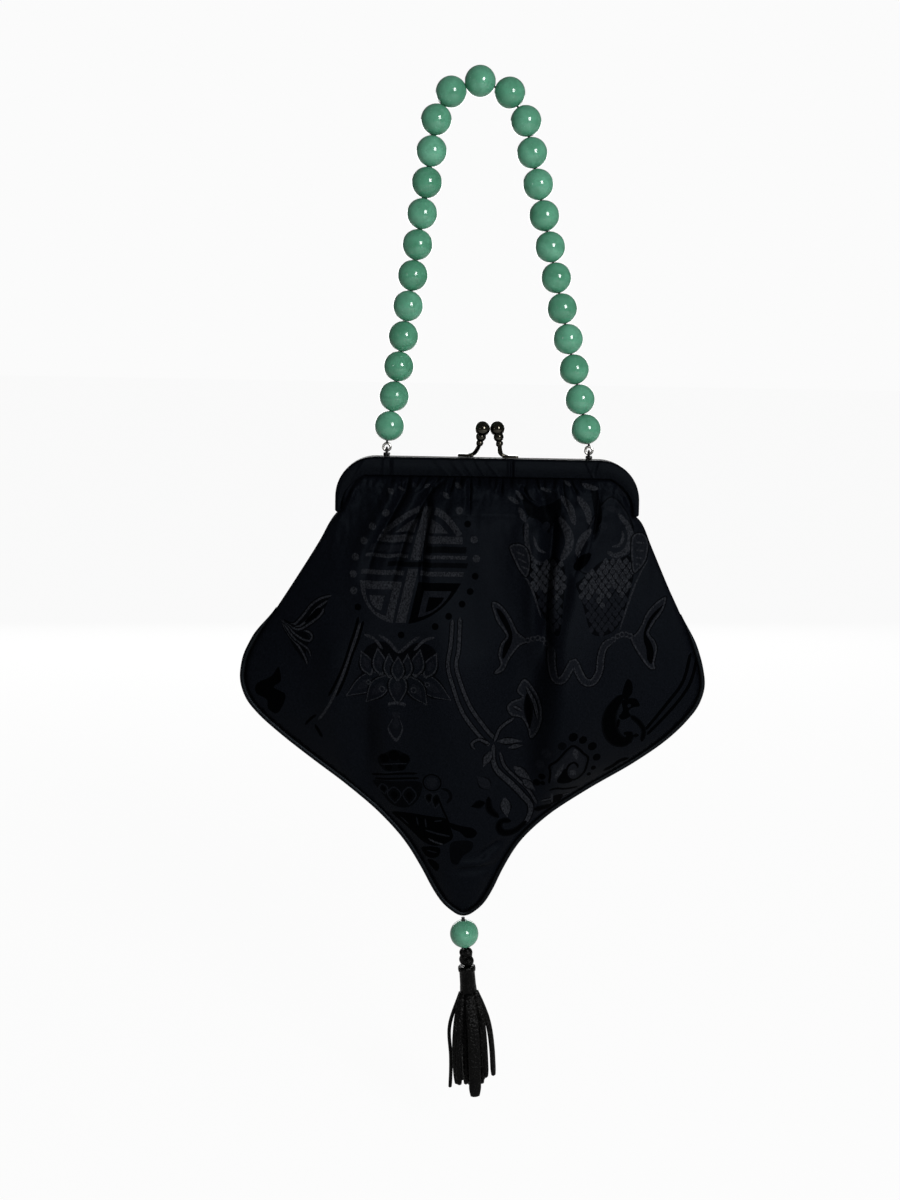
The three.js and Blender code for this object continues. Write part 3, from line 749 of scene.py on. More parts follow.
def outlinePoints():  # round the cloth's edge, as x and minus drop
    table = edgeTable(pouch["topDrop"])
    sides = []
    for column in (1, 2):
        line = np.column_stack([table[:, column], -table[:, 0]])
        sides.append(evenly(line, int(stepsAlong(line).sum() / pouch["edgeStep"])))
    left, right = sides
    across = np.linspace(left[0, 0], right[0, 0], int((right[0, 0] - left[0, 0]) / pouch["edgeStep"]))[1:-1]
    top = np.column_stack([across, np.full(len(across), left[0, 1])])
    return np.vstack([left, right[::-1], top[::-1]])


def latticePoints(fromDrop, toDrop, spacing):  # rows of points, each half a space along from the last
    reach = 120  # past the cloth on both sides
    points = []
    for i, drop in enumerate(np.arange(fromDrop, toDrop, spacing * pouch["rowShare"])):
        x = np.arange(-reach + (i % 2) * spacing / 2, reach, spacing)
        x = x[edgeRoom(x, drop) > spacing * pouch["margin"]]
        points.append(np.column_stack([x, np.full(len(x), -drop)]))
    return np.vstack(points)


def creasePoints():  # closer points along the creases
    form = creaseForm
    points = []
    for path, width, _, steep in creases:
        line = smoothLine(path, form["pathSteps"])
        start, end = line[0, 1] + form["pointStart"], line[-1, 1] - form["pointEnd"]
        for drop in np.arange(start, end, form["pointStep"]):
            x = np.interp(drop, line[:, 1], line[:, 0])
            points += [(x + off, drop) for off in steep * width * np.array(form["points"])]
    points = np.array(points)
    x, drop = points.T
    inside = (edgeRoom(x, drop) > form["sideRoom"]) & (drop > pouch["topDrop"] + form["topRoom"])
    return points[inside] * [1, -1]


# damask figures: outlines in x and drop, laid one over another on the ground

# ground is the ground weave; light, soft and deep are the one figure weave with its sheen painted in, lit,
# half-lit and in shade; dim is a dark tone for outlines and painted shade
ground, light, deep, soft, dim = 0, 1, 2, 3, 4
clothSatins = [finishes[name + "Satin"] for name in ("ground", "figure", "deep", "soft", "dim")]
drawing = dict(
    step=0.8, strokeSteps=6, strokeStep=1.2, strokeEnd=0.35, darkEdge=0.45, rim=0.7, thinRim=1.1, least=0.3,
    core=0.45, petalBase=0.04, petalTip=0.97, petalLean=0.8,
)
figures = []


def lay(outline, tone):  # with points close enough to follow the folds
    flat = np.asarray(outline, dtype=float) * [1, -1]
    after = np.roll(flat, -1, axis=0)
    counts = np.ceil(np.linalg.norm(after - flat, axis=1) / drawing["step"]).astype(int)
    dense = [a + (b - a) * np.arange(n)[:, None] / n for a, b, n in zip(flat, after, counts) if n > 0]
    figures.append((np.vstack(dense), tone))


def blob(points, steps=5):  # a smooth closed outline through a few points
    p = np.asarray(points, dtype=float)
    return smoothLine(np.vstack([p[-1:], p, p[:2]]), steps)[steps:-steps - 1]


def dot(centre, radius, sides=14):
    return np.asarray(centre) + radius * circle(sides)


def petal(base, tip, width, steps=10):  # pointed at its tip and narrow at its base
    base, tip = np.asarray(base, dtype=float), np.asarray(tip, dtype=float)
    t = np.linspace(0, 1, steps)[:, None]
    across = (tip - base)[::-1] * [-1, 1] / np.linalg.norm(tip - base)
    along = np.clip(t, drawing["petalBase"], drawing["petalTip"]) ** drawing["petalLean"]
    half = width / 2 * np.sin(np.pi * along)
    middle = base + (tip - base) * t
    return np.vstack([middle - across * half, (middle + across * half)[::-1]])


def stroke(points, width, swell=0.0):  # a line with round ends, thicker in the middle where it swells
    line = smoothLine(points, drawing["strokeSteps"])
    length = stepsAlong(line).sum()
    line = evenly(line, max(drawing["strokeSteps"], int(length / drawing["strokeStep"])))
    t = np.linspace(0, 1, len(line))
    ends = np.clip(np.minimum(t, 1 - t) * length / width * 2, drawing["strokeEnd"], 1)
    half = width / 2 * (1 + swell * (np.sin(np.pi * t) * 2 - 1)) * ends
    across = leftward(line) * half[:, None]
    return np.vstack([line + across, (line - across)[::-1]])


def shrunk(outline, share):
    middle = np.mean(outline, axis=0)
    return middle + (np.asarray(outline) - middle) * share


def inset(outline, by):  # the outline drawn in by a small width
    p = np.asarray(outline, dtype=float)
    ahead = np.roll(p, -1, axis=0) - np.roll(p, 1, axis=0)
    ahead /= np.linalg.norm(ahead, axis=1)[:, None]
    after = np.roll(p, -1, axis=0)
    turn = np.sign(np.sum(p[:, 0] * after[:, 1] - after[:, 0] * p[:, 1]))
    return p + turn * by * np.column_stack([-ahead[:, 1], ahead[:, 0]])


def layLined(outline, rim, inside, width=drawing["rim"]):  # a shape with a dark outline and an even rim
    lay(inset(outline, -drawing["darkEdge"]), dim)
    lay(outline, rim)
    lay(inset(outline, width), inside)


def layRimmed(outline, rim, inside=ground, core=None):  # an outline drawn as a rim, with a core if it has one
    lay(outline, rim)
    size = np.ptp(outline, axis=0).min()
    lay(shrunk(outline, max(drawing["least"], 1 - drawing["thinRim"] / size)), inside)
    if core is not None:
        lay(shrunk(outline, drawing["core"]), core)


def layHaloed(draw, rows, halo):  # each drawn twice, first wider in a dim tone
    for *form, width, tone in rows:
        lay(draw(*form, width + halo), dim)
        lay(draw(*form, width), tone)


def layShapes(rows):  # rows of an outline and its tone
    for outline, tone in rows:
        lay(blob(outline), tone)


def layStrokes(rows, swell=0.0):  # rows of points, width and tone
    for points, width, tone in rows:
        lay(stroke(points, width, swell), tone)


def insideOf(points, outline):
    x, y = np.asarray(points, dtype=float).reshape(-1, 2).T
    odd = np.zeros(len(x), dtype=bool)
    for a, b in zip(outline, np.roll(outline, -1, axis=0)):
        if a[1] != b[1]:
            odd ^= ((a[1] > y) != (b[1] > y)) & (x < a[0] + (y - a[1]) / (b[1] - a[1]) * (b[0] - a[0]))
    return odd


roundel = dict(
    centre=(-28.5, 42.0), across=21.0, tall=23.5, lean=-0.22, pinch=0.22, pinchFrom=4, post=2.0, postGap=1.2,
    margin=0.6,
    bars=[  # top and foot of each, and its tone on the left and on the right
        # the second bar is soft on the left and dim on the right: painted sheen and painted shade
        (-11.6, -8.7, light, light), (-7.6, -5.0, soft, dim), (-4.0, -2.6, light, light),
        (2.4, 4.2, light, light),
    ],
    cross=(-1.2, 0.8), crossGap=0.7, crossLeft=0.5, arcFrom=12.8, arcInner=0.88,
    peak=[(0, -18.3), (4, -16.5), (8.5, -12.8), (0, -12.8)], wedge=6.8, nested=(0.64, 0.36), lightDot=1.5,
    deepDot=1.35, arcPoints=9,
    # dots in the light tone are painted sheen and dots in the deep tone painted shade, on the one ring of
    # dots
    lightDots=[(-5, 31.4), (-4, 38.9), (-52.5, 53), (-52.8, 46.4), (-52, 39.7), (-48.7, 33.1), (-45.3, 27.3),
               (-40.1, 21.9), (-11, 20)],
    deepDots=[(-7.7, 25.3), (-4.3, 45.8), (-6.2, 51.9), (-9.3, 56.9), (-14.5, 61.7), (-19.8, 65.8),
              (-33.2, 69.7), (-50.7, 59.4)],
)


def onRoundel(points):  # from the fret's own plan to the cloth, askew and pinched by the gathers
    u, v = np.asarray(points, dtype=float).T
    x = u * (1 - roundel["pinch"] * ramp(-v, roundel["pinchFrom"], roundel["tall"])) + roundel["lean"] * v
    return np.column_stack([x, v]) + roundel["centre"]


def slab(left, right, top, foot):
    middle = (left + right) / 2
    return [(left, top), (middle, top), (right, top), (right, foot), (middle, foot), (left, foot)]


def layRoundel():  # a round fret: a post, bars and nested wedges, in a ring of dots
    wide, tall, post, margin = (roundel[key] for key in ("across", "tall", "post", "margin"))
    crossTop, crossFoot = roundel["cross"]
    near = post + roundel["postGap"]

    def reach(v):
        return wide * math.sqrt(1 - (v / tall) ** 2)

    def arcBetween(low, inner):  # round the edge, from a height to a place across
        turn = np.linspace(math.asin(low / tall), math.acos(inner / wide), roundel["arcPoints"])
        return np.column_stack([wide * np.cos(turn), tall * np.sin(turn)])

    lay(onRoundel(slab(-post, post, margin - tall, crossTop - roundel["crossGap"])), light)
    lay(onRoundel(slab(-post, post, crossFoot + roundel["crossGap"], tall - margin)), light)
    lay(onRoundel(slab(-roundel["crossLeft"] * reach(1), reach(1), crossTop, crossFoot)), dim)
    arc = arcBetween(roundel["arcFrom"], near + 1) * [1, -1]
    wedge = np.vstack([[(near, roundel["wedge"])], arcBetween(roundel["wedge"], near)])
    # the left half in the light tone and the right half in the deep tone: painted sheen and painted shade of
    # the one fret
    for side, tone, gap in ((-1, light, ground), (1, deep, soft)):
        parts = []
        for top, foot, *tones in roundel["bars"]:
            parts.append((slab(near, reach(top) - margin, top, foot), tones[side > 0]))
        parts.append((np.vstack([arc, (arc * roundel["arcInner"])[::-1]]), light))
        parts.append((np.array(roundel["peak"]) + [near, 0], light))
        wedgeTones = zip((1, *roundel["nested"]), (tone, gap, tone))
        parts += [(shrunk(wedge, share), shade) for share, shade in wedgeTones]
        for points, shade in parts:
            lay(onRoundel(np.asarray(points) * [side, 1]), shade)
    for key, tone in (("light", light), ("deep", deep)):
        for spot in roundel[key + "Dots"]:
            lay(dot(spot, roundel[key + "Dot"]), tone)


cartouche = dict(
    width=1.3, halo=0.9, thin=0.8, thick=1.1,
    left=[  # points and tone
        ([(-49.6, 65.6), (-51.9, 73.3), (-54.2, 80.2), (-56.6, 87.1), (-59.3, 93.7), (-62.5, 100.3),
          (-66.5, 106.5)], light),
        ([(-50.4, 63.2), (-51.5, 68), (-53.5, 74.1), (-55.4, 80.6), (-57.4, 85.9), (-60.1, 91.7),
          (-62.1, 95.4)], deep),
        ([(-48.4, 64.8), (-50.3, 72.1), (-52.7, 78.6), (-54.6, 85.1), (-56.9, 91.2), (-58.9, 95.3)], deep),
        ([(-67.3, 104.1), (-69.7, 106.2), (-72.1, 109.1)], deep),
    ],
    right=[
        [(-13, 63), (-13.5, 72.5), (-14.5, 80.5), (-12.5, 88.5), (-8.5, 99.5), (-2.5, 108.5), (2.5, 114.5)],
        [(-10, 62), (-10.3, 74), (-11.2, 80.5), (-9.2, 88), (-5.3, 97.5), (0.3, 106), (5, 112)],
    ],
    corner=[[(84, 77.5), (81, 89), (74.5, 98), (66, 109)], [(87, 79), (84, 90), (77.5, 99.5), (67, 111)]],
    leftEnd=[(-68, 108.5), (-65, 114)],
)


def layCartouche():  # the double lines round the medallion and the next one at the corner
    width = cartouche["width"]
    layStrokes([(points, cartouche["thin"] * width, tone) for points, tone in cartouche["left"]])
    layHaloed(stroke, [(points, width, light) for points in cartouche["right"]], cartouche["halo"])
    layStrokes([(points, cartouche["thick"] * width, deep) for points in cartouche["corner"]])
    lay(stroke(cartouche["leftEnd"], width), deep)


lotus = dict(
    field=[(-47, 75), (-40, 72.5), (-34, 77), (-27, 72.5), (-20, 74.5), (-19, 82), (-21, 89), (-28, 91),
           (-34, 92), (-41, 91), (-47.5, 89), (-49, 82)],
    petals=[  # base, tip and width
        ((-40, 85), (-55, 95), 7.4), ((-28, 85), (-13, 94.5), 7.4), ((-38, 86), (-47, 97.5), 7),
        ((-30.5, 86), (-22.5, 97), 7), ((-34.3, 84), (-34.3, 98), 7.5),
    ],
    collar=[[(-42, 70), (-38, 72.5), (-34, 76.5), (-30, 73), (-26, 70)],
            [(-48, 70), (-44, 71.5), (-40.5, 75.5)], [(-20, 70), (-24, 71.5), (-28, 75.5)]],
    fan=[
        ((-45, 86), (-49, 76.5), 5.4), ((-23.5, 86), (-19, 76), 5.4), ((-41, 86), (-42.5, 75), 5.6),
        ((-27.5, 86), (-25.5, 75), 5.6), ((-37.5, 87), (-38, 77), 4.6), ((-31, 87), (-30.5, 77), 4.6),
        ((-34.3, 88), (-34.3, 78), 5.2),
    ],
    seeds=[(-40.5, 91.5, 1.3), (-28, 91.3, 1.3), (-46, 89, 1.1), (-22.5, 88.7, 1.1)],
    pendant=[(-38, 97), (-31, 97), (-33.5, 102), (-32, 108), (-34.8, 113.5), (-38.2, 108), (-36, 102.5)],
    halo=1.5, collarWidth=1.1,
)


def layPetals(rows):
    for base, tip, width in rows:
        lay(petal(base, tip, width + lotus["halo"]), dim)
        layRimmed(petal(base, tip, width), light, ground, soft)


def layLotus():
    lay(blob(lotus["field"]), dim)
    layPetals(lotus["petals"])
    layStrokes([(line, lotus["collarWidth"], light) for line in lotus["collar"]])
    layPetals(lotus["fan"])
    for x, drop, radius in lotus["seeds"]:
        layRimmed(dot((x, drop), radius), light)
    layRimmed(blob(lotus["pendant"]), light, ground, soft)


vase = dict(
    shapes=[  # outline and tone
        ([(-44.2, 132.2), (-35, 131.2), (-24.9, 130.6), (-24.4, 135.1), (-26.8, 140.2), (-30.8, 142.8),
          (-36, 142.4), (-39.7, 138.8), (-42.2, 135.5)], dim),
        ([(-36.5, 146), (-29.6, 145), (-20.7, 145.7), (-13.8, 146.4), (-12.1, 150.6), (-11.2, 154.4),
          (-13.6, 157), (-18, 158.7), (-22.9, 158), (-27, 154.7), (-31.6, 150.5)], deep),
        ([(-12.9, 148.1), (-9.7, 148.9), (-6.8, 149.7), (-3.5, 150.5), (-1.5, 152.5), (-2.6, 154.7),
          (-5.9, 154.7), (-8.4, 152.2), (-11.7, 150.6)], deep),
        ([(-12.3, 157.7), (-8.3, 155.9), (-3.4, 156.7), (-3.3, 160.1), (-6.9, 163.1), (-8.9, 166.5),
          (-11.8, 165.7)], dim),
        ([(-24.1, 160.8), (-20.5, 159.4), (-16.4, 159.8), (-17.1, 163.6), (-20.4, 165), (-22.9, 163.7)],
         deep),
        ([(-21.6, 166.2), (-19.2, 165.7), (-16.7, 167.8), (-17.5, 170.8), (-19.9, 169.1)], deep),
        ([(-42.3, 122.6), (-41.5, 120.1), (-39.1, 118.8), (-36.7, 117.1), (-34.3, 117.1), (-32.3, 117.9),
          (-29.9, 119.1), (-29, 121.1), (-30.2, 123.6), (-31.4, 125.7), (-35.4, 126.6), (-39.4, 126.7),
          (-41.5, 124.6)], dim),
    ],
    knob=[(-39.5, 121.3, 1.9), (-35.5, 119.6, 2.3), (-31.5, 120.7, 2.1), (-37.8, 125.0, 1.5),
          (-32.6, 124.5, 1.5)],
    strokes=[  # points, width and tone
        ([(-45, 129.7), (-36.2, 127.9), (-26.1, 126.9)], 1.0, deep),
        ([(-43.8, 131.3), (-34.6, 129.9), (-25.3, 128.9)], 0.9, deep),
        ([(-41.1, 124.2), (-35.4, 123.3), (-30.2, 122.8)], 0.6, soft),
        ([(-41.8, 128.4), (-33, 126.6)], 0.5, soft),
        ([(-22.6, 152.1), (-17.3, 153.2), (-12.4, 154)], 0.8, soft),
        ([(-21.3, 155.8), (-18.5, 157.1), (-15.2, 157.8)], 0.8, light),
        ([(-26.3, 146.7), (-25.5, 150.4)], 0.6, soft), ([(-22.7, 147), (-22.2, 150.8)], 0.6, soft),
        ([(-19, 147.8), (-15.8, 147.3)], 0.6, soft), ([(-32.8, 147.5), (-29.6, 150.4)], 0.5, soft),
        ([(-17.5, 137.1), (-15.8, 141.7), (-13.3, 147.1)], 0.8, deep),
        ([(-21.7, 161.6), (-17.6, 161.9)], 0.5, soft),
        ([(-16.4, 132.9), (-13.6, 133.7), (-12.3, 136.6), (-13.9, 139.5)], 1.3, dim),
    ],
    petals=[((-35.7, 133.7), (-35.2, 141.6), 6.2), ((-29.3, 133.1), (-29.2, 141.5), 6.0),
            ((-40.6, 132.9), (-39.3, 137.9), 4.2)],
    ring=(-20.1, 130.5, 3.9), ringRim=1.6, dotSides=18, ringSides=22,
    tie=[((-20.8, 134.7), (-21.5, 140.5), 4.2), ((-18.0, 134.6), (-18.7, 142.6), 4.2)],
)


def layVase():
    layShapes(vase["shapes"])
    for x, drop, radius in vase["knob"]:
        lay(dot((x, drop), radius, vase["dotSides"]), deep)
    for base, tip, width in vase["petals"] + vase["tie"]:
        layRimmed(petal(base, tip, width), soft, dim, deep)
    x, drop, radius = vase["ring"]
    layRimmed(dot((x, drop), radius, vase["ringSides"]), deep)
    lay(dot((x, drop), radius - vase["ringRim"], vase["dotSides"]), soft)
    layStrokes(vase["strokes"])


leftFish = dict(
    body=[
        (17.2, 38.4), (17, 44), (17.9, 49.2), (20, 55.2), (22.1, 60), (24.2, 64), (27.2, 68.4), (29.2, 68.8),
        (30.2, 63.9), (30.8, 57), (31.4, 51), (31.6, 45), (30.3, 39.8), (27.5, 37.5), (23.6, 39.1),
        (20.4, 40.4),
    ],
    head=[(14.5, 25), (18, 20.5), (23, 18.5), (28.5, 21), (32, 27.5), (32, 34), (29, 39), (22, 40),
          (17, 36.5), (15, 31)],
    eye=(23.5, 26),
    # a dim patch over the top of the head: painted shade of a deep pleat
    shades=[([(13.2, 13.2), (16.8, 16.3), (20.8, 18.6), (25.6, 17), (28.8, 15), (29, 21), (27, 24),
              (24.7, 29), (23, 26.3), (19.8, 23.2), (15.6, 21)], dim)],
    # light strokes on the head and body; the wide one on the head's right side and the rims on its left are
    # painted highlight
    curves=[  # points and width
        ([(15.7, 24.2), (15.5, 31.3), (17.6, 37.6), (21.6, 40.4)], 1.4),
        ([(18.2, 29.3), (19.9, 34), (23.5, 36.3)], 0.9),
        ([(28.6, 22.4), (31.9, 27.9), (32.5, 33), (29.5, 39)], 2.7), ([(12.5, 18.5), (15, 24)], 1.8),
        ([(11, 12), (14, 15.5)], 1.2),
        ([(12.2, 42.1), (16.2, 46.5), (18.8, 52), (20.9, 58.4), (22.2, 62)], 0.6),
    ],
    fin=[(9, 34), (12, 32.5), (15.5, 34), (17, 39), (16, 45), (13.5, 43.5), (11, 39)],
    ribs=[[(11.5, 35.5), (15, 37)], [(12.3, 38.3), (15.6, 39.6)], [(13.5, 41.2), (16, 42)]],
    tail=[
        (2.5, 56.5), (4.5, 56), (7.5, 58.5), (10.5, 63), (13, 68), (17, 71.5), (14, 73.5), (11.5, 76.5),
        (9.5, 79.5), (8, 83), (5.5, 84.5), (4, 84), (6.5, 81), (5.5, 77), (6.5, 72.5), (8.5, 69.5), (7, 66.5),
        (4.5, 63),
    ],
    core=[(4.2, 58.2), (6.5, 59.5), (9, 63.5), (10.7, 68), (10.8, 71.5), (9.3, 75.5), (7.6, 78.5), (7, 77.5),
          (7.6, 73), (9.4, 69.5), (8, 66), (5.7, 62)],
    wrist=[(17, 71.2), (19, 70.4), (21, 70.2), (23, 71), (24.5, 72.5)],
)
rightFish = dict(
    body=[
        (34.9, 48.1), (37.6, 45.7), (41.1, 42.8), (44.2, 40), (47.7, 38.3), (52, 38.6), (56.7, 37),
        (59.2, 39.3), (59.7, 44.5), (58.7, 49.7), (57, 55.4), (55.6, 60.6), (53.3, 65.5), (49.9, 68.4),
        (45.1, 69.3), (41.5, 67.7), (39.7, 62.9), (37.9, 56.5), (36.2, 51.7),
    ],
    head=[(37, 34), (40.5, 26), (44, 19.5), (49.5, 14.5), (55.5, 20.5), (58.5, 28), (58, 36), (50, 40),
          (42, 44), (36.5, 42)],
    eye=(46, 26),
    # a dim strip beside the head, painted shade, and a deep spot below the head
    shades=[
        ([(41.2, 9.5), (43.6, 12), (44.8, 16), (45.6, 22), (44.4, 27), (42.2, 29), (42.6, 22), (41.4, 15)],
         dim),
        ([(34.5, 40.9), (37.9, 36.9), (41.4, 36.4), (40.3, 39.6), (37.3, 42.5), (35.3, 42.9)], deep),
    ],
    curves=[
        ([(41.4, 26.9), (38.3, 30.1), (36.5, 34.1), (35.8, 37.3)], 2.6),
        ([(52.2, 20.8), (56.3, 25.8), (57.7, 30.6), (55.9, 35.4), (51.6, 37.4), (48, 35.9)], 2.0),
        ([(54, 27.9), (54.5, 30.6), (53, 33.4), (49.9, 33.9)], 1.1),
        ([(29, 14), (32.5, 18.5), (34.5, 25)], 2.2), ([(35.5, 14), (39.5, 19.5), (40.5, 25)], 2.2),
        ([(65.1, 39.6), (61.4, 45.7), (58.5, 52.5), (55.6, 60.6), (53.4, 67.5)], 0.6),
    ],
    fin=[(58.5, 30), (62.5, 29), (65, 32.5), (64.3, 39), (61.5, 43), (59, 44), (58, 36.5)],
    ribs=[[(60, 32.5), (63.3, 32.8)], [(60, 35.5), (63.4, 36)], [(60, 38.5), (63, 39)],
          [(60, 41), (62, 41.5)]],
    tail=[
        (72.5, 54.5), (73, 55.5), (71.5, 60), (68, 64.5), (66, 68.5), (68.5, 72), (69.5, 75.5), (68.5, 80.5),
        (69, 83), (67, 83), (64.5, 80.5), (62, 77), (59, 72), (58.5, 69.5), (60.5, 68.5), (63, 65),
        (65, 60.5), (69, 56.5),
    ],
    core=[
        (71.8, 57.7), (70.2, 60), (67.4, 63.3), (65.6, 66.5), (64.8, 69), (67, 72.5), (68.2, 76.5),
        (67.4, 81), (65.5, 79), (65, 75), (63.8, 71), (64, 67.5), (66, 62.8), (69.5, 59.2),
    ],
    wrist=[(58, 69.3), (56.3, 68.6), (54.5, 68.5), (52.8, 69.1), (51, 70.3), (49.2, 71.5)],
)
fishForm = dict(body=0.96, eye=1.7, swell=0.3, rib=0.7, wrist=1.2, wristSides=12)
scale = dict(
    across=2.8, down=1.85, uneven=0.3, inside=0.93,
    sheenLoss=0.42, fade=0.8, patch=0.25, patchSize=0.3,  # painted sheen: pale near the head, and soft past a mottled line
    outline=[(0, -0.82), (0.5, -0.42), (0.84, -0.02), (0.62, 0.4), (0, 0.78), (-0.62, 0.4), (-0.84, -0.02),
             (-0.5, -0.42)],
)


def layScales(body):  # a net of scales, paler towards the head: painted sheen in the light and soft tones
    across, down = scale["across"], scale["down"]
    low, high = np.min(body, axis=0), np.max(body, axis=0)
    core = shrunk(body, scale["inside"])
    for row, drop in enumerate(np.arange(low[1] + 1, high[1], down)):
        for x in np.arange(low[0] + (row % 2) * across / 2, high[0], across):
            if insideOf((x, drop), core)[0]:
                shift = scale["uneven"] * np.array([noise.noise((x, drop, 5.1)), noise.noise((x, drop, 9.4))])
                patch = noise.noise((scale["patchSize"] * x, scale["patchSize"] * drop, 2.3))
                # the scale's painted sheen fades down the body and in mottled patches
                sheenLoss = scale["fade"] * (drop - low[1]) / (high[1] - low[1]) + scale["patch"] * patch
                outline = np.array(scale["outline"]) * [across / 2, down] + shift + (x, drop)
                lay(outline, light if sheenLoss < scale["sheenLoss"] else soft)


def layFish(fish):
    body = blob(fish["body"])
    layLined(blob(fish["head"]), soft, ground)
    # dark patches on the heads, mostly painted shade
    layShapes(fish["shades"])
    lay(shrunk(body, fishForm["body"]), dim)
    layScales(body)
    layRimmed(dot(fish["eye"], fishForm["eye"]), soft, ground, soft)
    # light strokes along the heads and bodies, partly lines of the figure and partly painted highlight on the
    # heads' rims
    layStrokes([(points, width, light) for points, width in fish["curves"]], fishForm["swell"])
    layLined(blob(fish["fin"]), light, soft)
    layStrokes([(line, fishForm["rib"], light) for line in fish["ribs"]])
    layLined(blob(fish["tail"]), light, soft)
    lay(blob(fish["core"]), deep)
    for spot in fish["wrist"]:
        layRimmed(dot(spot, fishForm["wrist"], fishForm["wristSides"]), light)


ribbon = dict(
    line=[
        (26.5, 73), (26.5, 79.5), (28, 85.5), (31, 85), (33.5, 80.5), (35, 78), (37, 82), (39.5, 86),
        (43, 86.5), (45.5, 82.5), (46, 77), (47.5, 72.5), (51, 70.5),
    ],
    widths=[(3.9, dim), (3.0, light), (1.8, soft)],
)


def layRibbon():
    layStrokes([(ribbon["line"], width, tone) for width, tone in ribbon["widths"]])


scrolls = dict(
    strokes=[  # points, width, swell and tone
        ([(56.5, 92.5), (53, 96), (50.7, 100.5), (50.7, 105.5), (52.7, 110.5), (56.5, 113.3), (59.3, 112.3),
          (59.3, 110), (57, 109.5)], 3.6, 0.45, deep),
        ([(59.5, 102), (63, 105), (65.5, 109), (65, 114)], 1.2, 0, deep),
        ([(61, 111), (63.5, 111)], 1.0, 0, deep),
        ([(54.5, 103), (54, 107)], 0.9, 0, deep),
        ([(22, 143.5), (29, 142)], 1.8, 0, deep),
        ([(24.5, 139.3), (36.5, 136.4)], 0.9, 0, light),
        ([(4.5, 114), (4.5, 121), (6.5, 126), (12, 131.5), (17, 137), (20.5, 142), (19, 149), (14.5, 153)],
         1.8, 0.2, light),
        ([(7.2, 118), (9.2, 124), (14.3, 129.5), (19.7, 135), (22.8, 140.5)], 1.0, 0, light),
        ([(19, 149), (14.5, 153), (9.5, 153.5), (7.5, 150.5), (9, 148), (12.5, 148.5)], 1.7, 0.2, deep),
        ([(3, 137), (3.5, 142.5), (7.5, 146.5)], 1.4, 0.3, deep),
        ([(12.5, 103.5), (7, 107.5), (4.8, 113)], 1.1, 0, light),
        ([(3, 114), (-1.5, 111.5), (-4.5, 113.3), (-3, 115.5)], 1.0, 0, light),
        ([(17, 90.5), (20.5, 97), (22, 103.5)], 1.0, 0.3, light),
        ([(12, 98.5), (15.5, 100.5)], 0.9, 0, light),
        ([(-82.5, 66.5), (-77, 68), (-73, 64), (-69.5, 59.5), (-66, 57), (-61.5, 55.5)], 0.8, 0, light),
        ([(-82, 67), (-76, 69), (-71.5, 66), (-68, 61.5), (-63, 57.5)], 0.8, 0, light),
        ([(-81, 67.5), (-75, 69.8), (-70, 67), (-65.5, 63), (-64.5, 60.5)], 0.8, 0, light),
        ([(-81.5, 68), (-78.5, 72.5), (-75, 76), (-72, 80.5), (-71, 83.5)], 0.8, 0, light),
        ([(-80.5, 68), (-75, 72.5), (-70, 74), (-69.5, 71), (-72.5, 70)], 0.8, 0, light),
        ([(-80.8, 68.3), (-76.5, 73.5), (-71, 77), (-69.5, 80)], 0.7, 0, light),
    ],
    leaves=[  # base, tip, width and tone
        ((17.5, 93.5), (19, 108), 2.6, deep), ((13, 124.5), (20, 130), 3.4, light),
        ((17, 130), (22, 134.5), 3.0, light), ((9.5, 138), (11, 146.5), 4.0, light),
        ((3.5, 133.5), (-2, 127.5), 4.2, soft), ((1.5, 139.5), (-4, 141), 2.8, deep),
        ((6, 113), (16, 113.5), 2.4, light), ((10.5, 116.2), (16.5, 115.2), 1.8, light),
        ((3.5, 117), (0.5, 123.5), 3.2, light),
    ],
    rimmed=[
        [(16.5, 87.5), (14.5, 89.5), (13.5, 92.5), (15.5, 95), (11.5, 96.5), (9.5, 99), (11.5, 102.5),
         (15.5, 103.5), (18, 107.5), (19.5, 112),
         (22, 108.5), (23.5, 102.5), (22.5, 95.5), (19.5, 90.5)],
    ],
    dimShapes=[
        [(-77, 67.8), (-73.9, 63.7), (-70.7, 60), (-66.7, 57.5), (-62.7, 56.6), (-64.7, 61.5), (-67.9, 64.8),
         (-71.8, 67.3)],
        [(-79.8, 69.4), (-76.6, 71), (-72.6, 70.5), (-70.2, 73.3), (-71.4, 77.4), (-71.8, 82.3),
         (-74.6, 79.5), (-77.8, 75.1)],
    ],
    deepShapes=[
        [(-72.2, 66.5), (-69.9, 63.6), (-67.1, 60.7), (-65.5, 61.5), (-67.9, 64.4), (-70.6, 66.4)],
        [(57.5, 86.5), (59.5, 88.5), (59.5, 92.5), (57, 95), (55.5, 93), (56, 89.5)],
        [(55.5, 95.5), (58.5, 94.5), (61.5, 95), (63, 98), (60, 98.5), (58.5, 100), (59.5, 102),
         (56.5, 103.5), (54.5, 102), (56, 99.5)],
        [(-83, 85.5), (-82, 91), (-85, 94), (-80, 97), (-83.5, 105), (-87.5, 103.5), (-88, 99.5), (-92.5, 97),
         (-92, 93), (-86, 89.5)],
        [(29, 137.2), (33.3, 136.4), (32.8, 140), (29, 141)],
    ],
    eye=(58.6, 97.6), eyeSize=0.8, rim=0.8, strokeHalo=1.0, leafHalo=1.1,
)


def layScrolls():
    for outline in scrolls["rimmed"]:
        layLined(blob(outline), light, soft, scrolls["rim"])
    layShapes([(outline, dim) for outline in scrolls["dimShapes"]])
    for points, width, swell, tone in scrolls["strokes"]:
        lay(stroke(points, width + scrolls["strokeHalo"], swell), dim)
        lay(stroke(points, width, swell), tone)
    layHaloed(petal, scrolls["leaves"], scrolls["leafHalo"])
    layShapes([(outline, deep) for outline in scrolls["deepShapes"]])
    lay(dot(scrolls["eye"], scrolls["eyeSize"]), ground)


